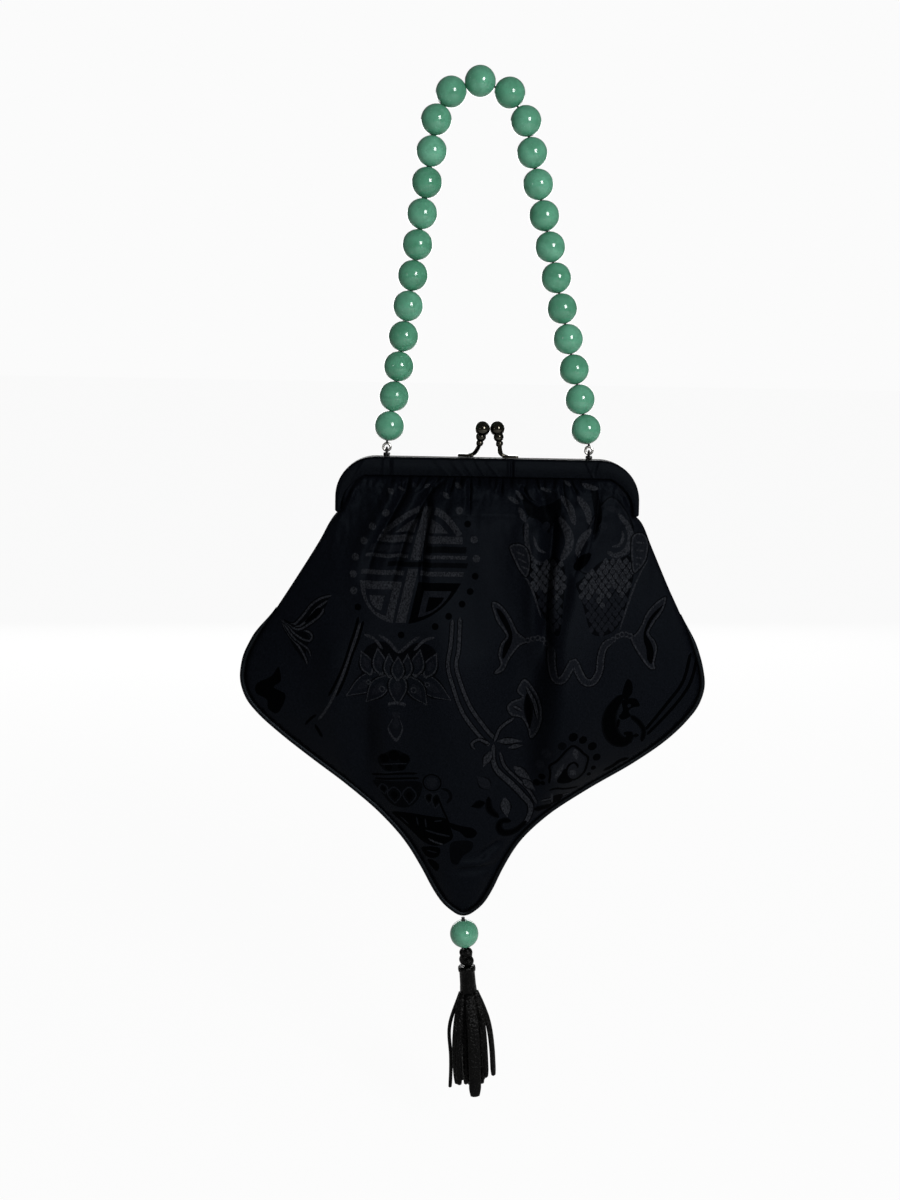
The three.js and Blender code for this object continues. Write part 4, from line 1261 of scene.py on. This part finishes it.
jewel = dict(
    line=[(27.3, 130.5), (27.5, 125.1), (27, 122.2), (29.8, 119.6), (31.7, 117.1), (33.7, 114.6), (36, 112.9),
          (38.5, 114.5), (40.6, 116.9), (42.7, 119), (42.4, 122.3), (41.7, 125.6), (39.7, 128.2),
          (37.3, 129.5), (34.9, 127.8), (34, 124.9), (34.7, 122), (36.7, 120.7), (38.3, 121.9),
          (38.8, 123.6)],
    width=0.95,
    field=[(28, 129.2), (28.3, 123), (32.2, 118.7), (36.1, 114.5), (41.1, 119), (40.8, 124.4), (37.3, 127.8),
           (33.3, 129.5)],
    shade=[(30.5, 129.6), (31.6, 126.2), (33.5, 123.3), (34.5, 127.4), (37, 129.9), (33.7, 130.8)],
    glints=[((36.9, 114.5), (37.9, 119.5), 2.4), ((29.6, 127.9), (32.7, 121.2), 2.0),
            ((35.6, 124.5), (38.1, 127.0), 2.6)],
    dots=[  # place, radius and tone
        ((31.6, 112.9), 1.8, dim), ((35.9, 109.1), 1.9, deep), ((40, 110.7), 1.7, deep),
        ((44.1, 114), 1.9, deep), ((46.3, 119.3), 1.7, deep), ((45.3, 124.3), 1.1, deep),
        ((43.7, 127.3), 0.9, deep), ((25.7, 116.8), 2.0, soft), ((23.4, 122.2), 1.8, soft),
        ((24.3, 127.6), 1.4, deep), ((22.4, 130.6), 1.5, deep), ((24.8, 130.5), 1.0, deep),
    ],
    strokes=[  # points, width and tone
        ([(27.5, 133.9), (30.4, 133), (34, 133.7), (39.7, 133.6)], 1.0, deep),
        ([(28.8, 135.5), (29.3, 140.6)], 0.8, light),
        ([(49.8, 126.6), (53.8, 124.4), (56.5, 122.3), (60.2, 121.4)], 1.6, deep),
        ([(26.2, 141.8), (29, 141.3), (31, 140.4)], 0.7, deep),
    ],
)


def layJewel():  # a flame that curls in on itself, ringed with dots
    lay(blob(jewel["field"]), soft)
    lay(blob(jewel["shade"]), deep)
    for base, tip, width in jewel["glints"]:
        lay(petal(base, tip, width), light)
    lay(stroke(jewel["line"], jewel["width"]), deep)
    for spot, radius, tone in jewel["dots"]:
        lay(dot(spot, radius), tone)
    layStrokes(jewel["strokes"])


# painted highlights on the gathers under the band, drawn as short light and soft strokes
gatherHighlights = dict(
    rows=[  # points, width and tone
        ([(-39.2, 12.1), (-37.2, 14.5)], 2.0, light), ([(-35.3, 11.7), (-32.9, 13.2)], 1.0, light),
        ([(-25.1, 11.5), (-22.7, 10.3)], 1.3, light), ([(-12.9, 9.7), (-10.5, 11.6)], 1.6, light),
        ([(-17.6, 13.3), (-15.2, 15.6)], 1.6, light), ([(8, 14.5), (12.4, 17.1)], 1.4, light),
        ([(37.3, 9.2), (40.1, 10.4), (44, 11.1)], 1.7, light), ([(20.8, 11.1), (25.2, 12.6)], 1.1, light),
        ([(30.2, 8.2), (33, 10.1)], 1.2, light), ([(51.4, 9.8), (55.5, 14)], 2.2, soft),
        ([(46.6, 18.1), (53, 20.4)], 1.8, soft), ([(-29.8, 10), (-27.8, 11.9)], 1.2, soft),
    ],
    swell=0.2,
)

layCartouche()
layLotus()
layRoundel()
layVase()
layFish(leftFish)
layFish(rightFish)
layRibbon()
layScrolls()
layJewel()
# painted highlights on the gathers
layStrokes(gatherHighlights["rows"], gatherHighlights["swell"])
print("damask drawn,", len(figures), "outlines")


def clothSheet():  # flat triangles of the panel, with the figures' outlines among their edges
    outline = outlinePoints()
    lattice = [latticePoints(*rows) for rows in pouch["spacing"]]
    points, edges = np.vstack([*lattice, creasePoints()]), []
    for shape in (outline, *(shape for shape, tone in figures)):
        at = len(points) + np.arange(len(shape))
        edges += np.column_stack([at, np.roll(at, -1)]).tolist()
        points = np.vstack([points, shape])
    verts, _, tris, *_ = delaunay_2d_cdt([Vector(p) for p in points], edges, [], 0, 1e-4, False)
    verts, tris = np.array([tuple(v) for v in verts]), np.array(tris)
    tris = tris[insideOf(verts[tris].mean(axis=1), outline)]
    middles = verts[tris].mean(axis=1)
    tones = np.zeros(len(tris), dtype=int)
    for shape, tone in figures:  # the last figure laid is on top
        near = np.flatnonzero(np.all((middles > shape.min(axis=0)) & (middles < shape.max(axis=0)), axis=1))
        tones[near[insideOf(middles[near], shape)]] = tone
    return verts, tris, tones


def boundaryEdges(tris):  # edges of one triangle only, in that triangle's direction
    edges = np.vstack([tris[:, [0, 1]], tris[:, [1, 2]], tris[:, [2, 0]]])
    keys = np.sort(edges, axis=1)
    _, index, counts = np.unique(keys, axis=0, return_index=True, return_counts=True)
    return edges[index[counts == 1]]


flatPoints, flatTris, flatTones = clothSheet()


def makePanel(name, sign):  # sign is -1 for the front and 1 for the back
    x, drop = flatPoints[:, 0], -flatPoints[:, 1]
    inner = clothHeight(x, drop, sign > 0)
    outer = inner + edgeRound(x, drop)
    sheets = [np.column_stack([frameMid + x, sign * height, frameTop - drop]) for height in (outer, inner)]
    count = len(x)
    out = flatTris if sign < 0 else flatTris[:, ::-1]
    rim = boundaryEdges(out)
    strips = np.column_stack([rim[:, 1], rim[:, 0], rim[:, 0] + count, rim[:, 1] + count])
    faces = [*out.tolist(), *(out[:, ::-1] + count).tolist(), *strips.tolist()]
    tones = np.concatenate([flatTones, np.zeros(len(out) + len(strips), dtype=int)])
    piece = meshPiece(name, np.vstack(sheets), faces, clothSatins, tones)
    a, b, c = (sheets[0][out[:, k]] for k in range(3))
    area = np.linalg.norm(np.cross(b - a, c - a), axis=1).sum() / 2
    return piece, area * mm * mm


halves = (("front", -1), ("back", 1))
for half, sign in halves:
    panel, area = makePanel("pouch" + half.title(), sign)
    seat(panel, "damask", "panel_" + half)
    print("pouch", half, "made,", len(panel.data.polygons), "faces,", round(area * 1e4, 1), "cm2")


# frame: each half a grooved band under a cloth cover

def bandLines():  # the band's outer and inner edges from the left arm's end to the right one's, as x and drop
    f = frameCover
    turn = np.linspace(np.pi, np.pi / 2, f["curvePoints"])
    arc = np.column_stack([-f["half"] + f["corner"] * (1 + np.cos(turn)), f["corner"] * (1 - np.sin(turn))])
    outer = np.vstack([[(-f["half"], f["arm"])], arc])
    pull = (-f["bend"][0], f["bend"][1])
    tip, foot = (-f["half"] + f["armTip"], f["arm"]), (-f["straight"], f["band"])
    inner = bentLine(tip, pull, foot, f["curvePoints"])
    middleCount = int(2 * f["straight"] / f["step"])
    lines = []
    for side in (outer, inner):
        corner = evenly(side, f["cornerSteps"])
        x, drop = corner[-1]
        middle = np.column_stack([np.linspace(x, -x, middleCount), np.full(middleCount, drop)])
        lines.append(np.vstack([corner, middle[1:-1], (corner * [-1, 1])[::-1]]))
    return lines


def roundCorner(at, arrive, leave, radius, steps=3):  # a corner of the section, rounded
    at, arrive, leave = (np.asarray(v, dtype=float) for v in (at, arrive, leave))
    return bentLine(at - arrive * radius, at, at + leave * radius, steps)


def bandSection(height):  # one section of the band, as depth from the middle plane and drop from its top
    f = frameCover
    grooveIn = f["inner"] + f["wall"]
    grooveOut = grooveIn + f["groove"]
    front = grooveOut + f["wall"]
    web = min(f["wall"], height * f["webShare"])
    top = min(f["topRound"], height * f["topShare"])
    lip = min(f["lipRound"], (height - web) * f["lipShare"])
    thinLip = min(lip, f["grooveRound"])
    up, down, out, back = (0, -1), (0, 1), (1, 0), (-1, 0)
    face = np.linspace(height - lip, top, 9)[1:-1]
    swell = front + f["pillow"] * np.sin(np.pi * (face - top) / max(height - lip - top, 0.1))
    return np.vstack([
        roundCorner((front, height), out, up, lip, 5),
        np.column_stack([swell, face]),
        roundCorner((front, 0), up, back, top, 5),
        roundCorner((f["meet"], 0), back, down, f["meetRound"]),
        roundCorner((f["meet"], height), down, out, thinLip),
        roundCorner((grooveIn, height), out, up, thinLip),
        [(grooveIn, web), (grooveOut, web)],
        roundCorner((grooveOut, height), down, out, thinLip),
    ])


def coverRelief(x, drop):  # wrinkles of the cover across the band and its crease along the top
    f = frameCover
    relief = np.zeros_like(x)
    for top, foot, width, height in f["wrinkles"]:
        off = (x - (top + (foot - top) * drop / f["band"])) / width
        relief += f["wrinkleLift"] * height * bell(off)
    off = (drop - f["crease"]["drop"]) / f["crease"]["width"]
    return relief - f["crease"]["depth"] * bell(off) * (np.abs(x) < f["straight"])


def makeFrameHalf(name, sign):
    f = frameCover
    face = f["inner"] + 2 * f["wall"] + f["groove"]
    blendStart, blendEnd = (face - back for back in f["faceBlend"])
    rings = []
    for a, b in zip(*bandLines()):
        height = np.linalg.norm(b - a)
        section = bandSection(height)
        x, drop = (a + (b - a) * (section[:, 1:] / height)).T
        onFace = ramp(section[:, 0], blendStart, blendEnd) * ramp(drop, *f["topBlend"])
        depth = section[:, 0] + onFace * coverRelief(x, drop)
        rings.append(np.column_stack([frameMid + x, sign * depth, frameTop - drop]))
    ends = []
    for end in (rings[0], rings[-1]):  # the arms' ends are rounded over
        middle = end.mean(axis=0)
        ends.append((end - middle) * f["endShare"] + middle - [0, 0, f["endRound"]])
    rings = np.array([ends[0], *rings, ends[1]])
    if sign > 0:
        rings = rings[:, ::-1]
    return meshPiece(name, *loft(rings), [finishes["coverSatin"]])


for half, sign in halves:
    seat(makeFrameHalf("frameCover" + half.title(), sign), "damask", "frame_" + half)
print("frame made")


# handle: drilled stone beads on a thread

bead = dict(diameter=11.97, hole=0.8, sink=0.35, sides=40, rows=20, roughly=0.007, seed=7)


def makeBeadMesh():  # closed on itself through the hole
    radius, hole, sink = bead["diameter"] / 2, bead["hole"], bead["sink"]
    mouth = math.acos(hole / radius)
    angles = np.linspace(-mouth, mouth, bead["rows"])
    outside = np.column_stack([radius * np.cos(angles), radius * np.sin(angles)])
    outside[0, 0] = outside[-1, 0] = hole + sink
    top = outside[-1, 1] - sink
    return closedLoft(turnedSolid([*outside, (hole, top), (hole, -top)], bead["sides"]))


def beadTree():
    tree, given, out = newShape(
        "beadsOnThread", [("Bead", "Object", None), ("Unevenness", "Float", 0.01), ("Seed", "Int", 0)],
    )
    along = addNode(tree, "GeometryNodeInputNamedAttribute", {"Name": "along"}, data_type="FLOAT_VECTOR")
    turn = addNode(tree, "FunctionNodeAlignRotationToVector", {"Vector": along.outputs[0]}, axis="Z")
    seed = {"Seed": given.outputs["Seed"]}
    roll = addNode(tree, "FunctionNodeRandomValue", {**seed, 3: 2 * math.pi}, data_type="FLOAT")
    spin = addNode(tree, "FunctionNodeAxisAngleToRotation", {"Axis": (0, 0, 1), "Angle": roll.outputs[1]})
    sockets = {"Rotation": turn.outputs[0], "Rotate By": spin.outputs[0]}
    turned = addNode(tree, "FunctionNodeRotateRotation", sockets, rotation_space="LOCAL")
    sockets = {**seed, 0: mathOf(tree, "SUBTRACT", 1.0, given.outputs["Unevenness"]), 1: (1, 1, 1)}
    size = addNode(tree, "FunctionNodeRandomValue", sockets, data_type="FLOAT_VECTOR")
    sockets = {"Object": given.outputs["Bead"]}
    info = addNode(tree, "GeometryNodeObjectInfo", sockets, transform_space="ORIGINAL")
    put = addNode(tree, "GeometryNodeInstanceOnPoints", {
        "Points": given.outputs["Geometry"], "Instance": info.outputs["Geometry"],
        "Rotation": turned.outputs[0], "Scale": size.outputs[0],
    })
    tint = addNode(tree, "FunctionNodeRandomValue", seed, data_type="FLOAT")
    sockets = {"Geometry": put.outputs[0], "Name": "tint", "Value": tint.outputs[1]}
    store = addNode(tree, "GeometryNodeStoreNamedAttribute", sockets, data_type="FLOAT", domain="INSTANCE")
    endShape(tree, given, out, store.outputs[0])
    return tree


def makeBeads(name, seats, along, seed):
    piece = meshPiece(name, seats, [], [greenStone])
    lines = piece.data.attributes.new("along", "FLOAT_VECTOR", "POINT")
    lines.data.foreach_set("vector", np.asarray(along, dtype=np.float32).ravel())
    values = dict(Bead=beadModel, Unevenness=bead["roughly"], Seed=seed, Finish=greenStone)
    return runShape(piece, beadsOnThread, **values)


beadModel = meshPiece("beadModel", *makeBeadMesh(), [greenStone])
beadsOnThread = beadTree()
tasselSeat = nodeMid("tassel_bead")
tasselAhead = nodeMid("tassel_collar") - tasselSeat
tasselAhead /= np.linalg.norm(tasselAhead)
seat(makeBeads("handleBeads", beadSeats, headings(beadSeats), bead["seed"]), "green_stone", *beadNodes)
tasselBead = makeBeads("tasselBead", [tasselSeat], [tasselAhead], bead["seed"] + 1)
tints = tasselBead.data.attributes["tint"].data
tints.foreach_set("value", np.ones(len(tints), dtype=np.float32))  # paler than the rest
seat(tasselBead, "green_stone", "tassel_bead")
bpy.data.objects.remove(beadModel)
print("beads made")


# thread and piping: a round section along a line

def cordTree():
    tree, given, out = newShape("cordAlongLine", [
        ("Radius", "Float", 0.001), ("Sides", "Int", 10), ("Step", "Float", 0.001), ("Taper", "Float", 0.001),
        ("End", "Float", 1.0),
    ])
    asked = given.outputs
    line = addNode(tree, "GeometryNodeMeshToCurve", {0: asked["Geometry"]})
    sockets = {"Curve": line.outputs[0], "Length": asked["Step"]}
    even = addNode(tree, "GeometryNodeResampleCurve", sockets, mode="LENGTH")
    sockets = {"Resolution": asked["Sides"], "Radius": asked["Radius"]}
    ring = addNode(tree, "GeometryNodeCurvePrimitiveCircle", sockets)
    along = addNode(tree, "GeometryNodeSplineParameter").outputs["Length"]
    whole = addNode(tree, "GeometryNodeSplineLength").outputs["Length"]
    toEnd = mathOf(tree, "MINIMUM", along, mathOf(tree, "SUBTRACT", whole, along))
    sockets = {"Value": toEnd, "From Max": asked["Taper"], "To Min": asked["End"]}
    size = addNode(tree, "ShaderNodeMapRange", sockets, interpolation_type="SMOOTHSTEP")
    skin = addNode(tree, "GeometryNodeCurveToMesh", {
        "Curve": even.outputs[0], "Profile Curve": ring.outputs[0], "Scale": size.outputs[0],
        "Fill Caps": True,
    })
    endShape(tree, given, out, skin.outputs[0])
    return tree


cordAlongLine = cordTree()


def makeCord(name, line, finish, radius, sides, step, taper=1.0, end=1.0):
    piece = meshPiece(name, line, [], [], edges=[(i, i + 1) for i in range(len(line) - 1)])
    return runShape(
        piece, cordAlongLine, Radius=radius * mm, Sides=sides, Step=step * mm, Taper=taper * mm, End=end,
        Finish=finish,
    )


thread = dict(radius=0.45, tasselRadius=0.7, sides=8, step=1.5, pastRing=1.9, aboveBead=7.2, belowBead=6.4)
bothSides = ("left", "right")
ringTops = [nodeMid("end_ring_" + side) + [0, 0, thread["pastRing"]] for side in bothSides]
threadLine = [ringTops[0], *beadSeats, ringTops[1]]
cordLine = [tasselSeat - tasselAhead * thread["aboveBead"], tasselSeat + tasselAhead * thread["belowBead"]]
for name, node, line, radius in (
    ("handleThread", "bead_thread", threadLine, thread["radius"]),
    ("tasselCord", "tassel_cord", cordLine, thread["tasselRadius"]),
):
    cord = makeCord(name, line, blackThread, radius, thread["sides"], thread["step"])
    seat(cord, "black_thread", node)

piping = dict(
    radius=1.05, sides=14, step=1.2, taper=16.0, end=0.12, outside=1.2, outsideAtEnd=0.15, fromDrop=62.0,
    points=400, smoothing=6, flange=4.0, flangeThick=0.04,
)


def pipingLine():
    drop, left, right = edgeTable(piping["fromDrop"]).T
    edge = np.vstack([np.column_stack([left, drop]), np.column_stack([right, drop])[::-1]])
    edge = evenly(edge, piping["points"])
    run = np.concatenate([[0], np.cumsum(stepsAlong(edge))])
    start = piping["outsideAtEnd"]
    out = piping["outside"] * (start + (1 - start) * ramp(np.minimum(run, run[-1] - run), 0, piping["taper"]))
    spot = edge + out[:, None] * leftward(edge)
    for _ in range(piping["smoothing"]):
        spot[1:-1] = (spot[:-2] + 2 * spot[1:-1] + spot[2:]) / 4
    return np.column_stack([frameMid + spot[:, 0], np.zeros(len(spot)), frameTop - spot[:, 1]])


def addFlange(piece, line):  # the piping's flat tape, sewn in between the panels
    inward = np.cross(headings(line), [0, 1.0, 0]) * piping["flange"]
    thin = np.array([0, piping["flangeThick"] / 2, 0])
    rings = np.stack([line + inward + thin, line + thin, line - thin, line + inward - thin], axis=1)
    tape = meshPiece("tape", *loft(rings), [finishes["pipingSatin"]])
    both = bmesh.new()
    both.from_mesh(piece.data)
    both.from_mesh(tape.data)
    both.to_mesh(piece.data)
    both.free()
    bpy.data.objects.remove(tape)


edgeLine = pipingLine()
pipingSizes = [piping[key] for key in ("radius", "sides", "step", "taper", "end")]
edgePiping = makeCord("edgePiping", edgeLine, finishes["pipingSatin"], *pipingSizes)
addFlange(edgePiping, edgeLine)
seat(edgePiping, "satin_piping", "piping")
print("thread and piping made")


# clasp, loops and rings

clasp = dict(
    stem=[  # along the strip, then up and forward, with its radius
        (-8.6, 2.9, 0.85, 0.3), (-7.0, 2.9, 1.0, 0.55), (-5.6, 2.8, 1.45, 0.8), (-4.7, 2.3, 2.7, 0.95),
        (-4.2, 1.5, 4.3, 0.9), (-3.9, 0.8, 5.8, 0.8), (-3.6, 0, 8.4, 0.8), (-3.15, -1.1, 11.7, 0.8),
    ],
    balls=[(-3.9, 0.8, 5.8, 1.5), (-3.5, 0, 8.4, 2.1), (-2.95, -1.1, 11.6, 3.0)], shift=0.6,
    shiftBetween=(1.5, 6),
    # thin rings between the balls
    collars=[(-3.76, 0.42, 7.0, 1.2), (-3.42, -0.45, 9.75, 1.5)], collarFlat=0.35, stemSteps=6, stemSides=14,
    strip=dict(start=5.6, end=12.0, width=3.4, thickness=1.1, lift=0.15, side=2.9, edge=0.3),
)


def makeClasp(name, turn):
    strip = clasp["strip"]
    stem = smoothLine(clasp["stem"], clasp["stemSteps"])
    parts = [tubeAlong(stem[:, :3], stem[:, 3], clasp["stemSides"])]
    parts += [ball(place, radius) for *place, radius in clasp["balls"]]
    parts += [ball(place, radius, flat=clasp["collarFlat"]) for *place, radius in clasp["collars"]]
    low = (-strip["end"], strip["side"] - strip["width"] / 2, strip["lift"])
    high = (-strip["start"], strip["side"] + strip["width"] / 2, strip["lift"] + strip["thickness"])
    parts.append(softBox(low, high, strip["edge"]))
    points, faces = joined(parts)
    points = points * [turn, turn, 1] + [frameMid, 0, frameTop]
    points[:, 0] += clasp["shift"] * ramp(points[:, 2] - frameTop, *clasp["shiftBetween"])
    return meshPiece(name, points, faces, [finishes["darkMetal"]])


for side, turn in zip(bothSides, (1, -1)):
    seat(makeClasp("claspKnob" + side.title(), turn), "dark_metal", "clasp_knob_" + side)

ring = dict(radius=1.45, wire=0.5, sides=48, wireSides=12)
loop = dict(
    wire=0.45, wireSides=12, half=1.3, height=3.2, archPoints=15, foot=(2.6, 4.4, 1.15), footEdge=0.25,
    lift=0.15,
)


def makeRing(name, centre):
    section = ring["wire"] * circle(ring["wireSides"])
    out = ring["radius"] + section[:, 0]
    rings = [np.column_stack([out * across, section[:, 1], out * up]) for across, up in circle(ring["sides"])]
    points, faces = closedLoft(rings)
    return meshPiece(name, points + centre, faces, [finishes["silverMetal"]])


def makeLoop(name, centre):
    half, lift = loop["half"], loop["lift"]
    turn = np.linspace(0, np.pi, loop["archPoints"])
    arch = [(0, -half * math.cos(a), loop["height"] - half * (1 - math.sin(a))) for a in turn]
    wide, long, thick = loop["foot"]
    sink = lift + thick / 2
    line = [(0, -half, sink), *arch, (0, half, sink)]
    plate = softBox((-wide / 2, -long / 2, lift), (wide / 2, long / 2, lift + thick), loop["footEdge"])
    points, faces = joined([tubeAlong(line, loop["wire"], loop["wireSides"]), plate])
    return meshPiece(name, points + [centre[0], centre[1], frameTop], faces, [finishes["blackMetal"]])


for side in bothSides:
    seat(makeRing("endRing" + side.title(), nodeMid("end_ring_" + side)), "silver", "end_ring_" + side)
    seat(makeLoop("frameLoop" + side.title(), nodeMid("frame_loop_" + side)), "black_metal",
         "frame_loop_" + side)
    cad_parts["hinge_pin_" + side].data.materials[0] = finishes["blackMetal"]
print("metal made")


# tassel: knot, wrapped collar and a skirt of leather strips

tassel = dict(
    # across at the top, at a third, at two thirds and at the end, depth at the end, width and length
    strips=[
        (-3.4, -8.9, -9.4, -10.9, -1.2, 1.6, 41.7), (-2.9, -6.0, -7.6, -7.6, -3.8, 2.6, 39.2),
        (-2.4, -4.6, -5.9, -6.6, -4.6, 2.6, 39.2), (-1.4, -2.9, -3.5, -4.0, -2.4, 2.3, 40.2),
        (0.6, 0.9, 0.6, -0.3, -7.0, 5.2, 43.7), (2.3, 3.4, 3.5, 2.7, -4.8, 3.2, 39.2),
        (2.8, 4.8, 5.2, 5.0, -5.0, 2.4, 36.2), (3.2, 7.0, 8.1, 8.1, -1.2, 2.8, 37.7),
        (-2.0, -4.0, -5.0, -5.2, 2.4, 3.2, 40.5), (-1.2, -2.6, -3.2, -3.6, 4.6, 3.0, 42),
        (0.4, 0.6, 0.2, -0.4, 5.6, 3.4, 41.5), (1.8, 3.2, 3.4, 3.0, 4.4, 2.9, 42),
        (2.6, 4.4, 4.6, 4.4, 2.2, 2.7, 40), (-0.8, -1.4, -1.8, -2.2, -1.6, 3.0, 41),
        (1.0, 1.6, 1.8, 1.4, 0.6, 3.0, 41.5), (0.2, -0.6, -1.0, -1.2, 1.8, 3.0, 40.5),
    ],
    collar=[  # radius and height, from its foot up
        (2.6, -12.2), (3.45, -12.1), (3.6, -11.4), (3.35, -8), (3.25, -2.9), (3.3, -2.5), (3.62, -2.2),
        (3.7, -1.2), (3.6, -0.4), (3.2, 0), (2.2, 0.05),
    ],
    collarSides=40, collarRise=5.2, skirtDrop=11.4,
    lobes=[  # place and radius of each turn of the knot
        (0.5, -0.6, -1.9, 2.3), (-0.6, 0.4, -2.2, 2.2), (-0.5, 0.2, -5.2, 2.6), (0.7, -0.7, -5.6, 2.4),
        (-0.8, -0.5, -3.9, 1.9), (0.7, 0.5, -3.6, 1.9),
    ],
    knotRise=3.8, lobeSides=24, lobeRows=13,
)
leatherStrip = dict(
    thickness=1.5, steps=26, curveSteps=12, sides=14, squareness=0.85, seed=5,
    # shares of its length and of its depth at the end
    places=(0, 0.33, 0.67, 1), depths=(0.42, 0.95, 1.05, 1), wave=0.25, waves=(1.5, 3.0), twist=0.45, fan=11,
    # where it narrows and how far, and its rounded end
    neck=(0.12, 0.75), tip=(0.93, 0.25), end=(0.55, 0.35),
)
collarTop = nodeMid("tassel_collar") - tasselAhead * tassel["collarRise"]
tasselAcross = np.array([-tasselAhead[2], 0, tasselAhead[0]])
tasselTurn = np.column_stack([tasselAcross, [0, 1, 0], -tasselAhead])


def onTassel(points, start):  # from the tassel's own line, z up, to the part's frame
    return np.asarray(points) @ tasselTurn.T + start


def makeCollar():
    points, faces = loft(turnedSolid(tassel["collar"], tassel["collarSides"]))
    return meshPiece("tasselCollar", onTassel(points, collarTop), faces, [blackLeather])


def makeKnot():
    top = nodeMid("tassel_knot") - tasselAhead * tassel["knotRise"]
    sides, rows = tassel["lobeSides"], tassel["lobeRows"]
    points, faces = joined([ball(place, radius, sides, rows) for *place, radius in tassel["lobes"]])
    return meshPiece("tasselKnot", onTassel(points, top), faces, [blackLeather])


def makeStrip(draw, top, third, second, end, depth, width, length):
    strip = leatherStrip
    places = zip(strip["places"], (top, third, second, end), strip["depths"])
    fall = smoothLine([(down, x, depth * share) for down, x, share in places], strip["curveSteps"])
    line = evenly(np.column_stack([fall[:, 1], fall[:, 2], -length * fall[:, 0]]), strip["steps"])
    t = np.linspace(0, 1, len(line))
    for axis in (0, 1):
        sway = draw.uniform(-strip["wave"], strip["wave"])
        line[:, axis] += sway * np.sin(np.pi * t * draw.uniform(*strip["waves"]))
    ahead = headings(line)
    turn = math.atan2(line[-1, 1] + math.copysign(strip["fan"], depth), line[-1, 0])
    turn += draw.uniform(-strip["twist"], strip["twist"])
    facing = np.cross(ahead, [math.cos(turn), math.sin(turn), 0.0])
    facing /= np.linalg.norm(facing, axis=1)[:, None]
    away = np.cross(facing, ahead)
    (neck, neckShare), (tip, tipLoss), (endShare, endLong) = strip["neck"], strip["tip"], strip["end"]
    narrow = np.where(t < neck, neckShare + (1 - neckShare) * t / neck, 1.0)
    narrow *= 1 - tipLoss * ramp(t, tip, 1.0)
    wave = circle(strip["sides"])
    section = np.sign(wave) * np.abs(wave) ** strip["squareness"] / 2
    rings = []
    for p, f, a, k in zip(line, facing, away, narrow):
        rings.append(p + section @ np.array([width * k * f, strip["thickness"] * a]))
    middle = rings[-1].mean(axis=0)
    rings.append(middle + (rings[-1] - middle) * endShare + ahead[-1] * endLong)
    return loft(rings)


def makeSkirt():
    draw = np.random.default_rng(leatherStrip["seed"])
    points, faces = joined([makeStrip(draw, *row) for row in tassel["strips"]])
    start = collarTop + tasselAhead * tassel["skirtDrop"]
    piece = meshPiece("tasselSkirt", onTassel(points, start), faces, [blackLeather])
    facingOut(piece)
    return piece


seat(makeCollar(), "black_leather", "tassel_collar")
seat(makeKnot(), "black_leather", "tassel_knot")
seat(makeSkirt(), "black_leather", "tassel_skirt")
print("tassel made")


# floor and light

studio = dict(
    floorDrop=30.0, floorSize=40.0, floorColours=((0.88, 0.88, 0.87), (0.92, 0.92, 0.91)), floorGlow=0.945,
    ambient=0.15, behind=0.965, aimDrop=200.0,
    key=dict(toward=(0.42, -0.85, 0.32), distance=1.15, wide=0.32, tall=0.44, power=10.6),
    fill=dict(toward=(-0.67, -0.72, 0.17), distance=1.2, wide=0.06, tall=0.06, power=0.25),
    back=dict(toward=(-0.10, 0.98, 0.10), distance=1.3, wide=1.4, tall=0.5, power=8.0),
)


def cameraRay(tree):  # 1 for what the camera sees and 0 for what lights the bag
    return addNode(tree, "ShaderNodeLightPath").outputs["Is Camera Ray"]


def endWith(tree, output, share, first, second):  # two shaders blended into the output
    both = addNode(tree, "ShaderNodeMixShader", {0: share, 1: first.outputs[0], 2: second.outputs[0]})
    tree.links.new(both.outputs[0], tree.nodes[output].inputs["Surface"])


def makeFloor():
    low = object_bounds()[0][2] / mm - studio["floorDrop"]
    reach = studio["floorSize"] / mm / 2
    corners = [(-reach, -reach, low), (reach, -reach, low), (reach, reach, low), (-reach, reach, low)]
    material, tree, shader, inMm = newFinish("paleFloor", Specular_IOR_Level=0.1, Roughness=0.9)
    mottle = noiseOf(tree, inMm, 0.01, 3.0)
    linkAll(tree, shader, Base_Color=mixColour(tree, mottle, *studio["floorColours"]))
    glow = addNode(tree, "ShaderNodeEmission", {"Color": (1, 1, 1, 1), "Strength": 1.0})
    share = mathOf(tree, "MULTIPLY", cameraRay(tree), studio["floorGlow"])
    endWith(tree, "Material Output", share, shader, glow)
    meshPiece("floor", corners, [(0, 1, 2, 3)], [material], smooth=False)


def makeLight(name, toward, distance, wide, tall, power):
    toward = Vector(toward).normalized()
    data = bpy.data.lights.new(name, "AREA")
    data.shape = "RECTANGLE"
    data.size, data.size_y, data.energy = wide, tall, power
    made = bpy.data.objects.new(name, data)
    made.location = Vector((frameMid, 0, -studio["aimDrop"])) * mm + toward * distance
    made.rotation_euler = (-toward).to_track_quat("-Z", "Y").to_euler()
    made.visible_camera = False
    bpy.context.collection.objects.link(made)


def makeWorld():
    world = bpy.data.worlds.new("studio")
    world.use_nodes = True
    tree = world.node_tree
    around = tree.nodes["Background"]
    around.inputs["Strength"].default_value = studio["ambient"]
    around.inputs["Color"].default_value = (1, 1, 1, 1)
    seen = addNode(tree, "ShaderNodeBackground", {"Color": (1, 1, 1, 1), "Strength": studio["behind"]})
    endWith(tree, "World Output", cameraRay(tree), around, seen)
    bpy.context.scene.world = world


makeFloor()
for name in ("key", "fill", "back"):
    makeLight(name + "Light", **studio[name])
makeWorld()
bpy.context.scene.view_settings.view_transform = "Standard"

print("scene ready")
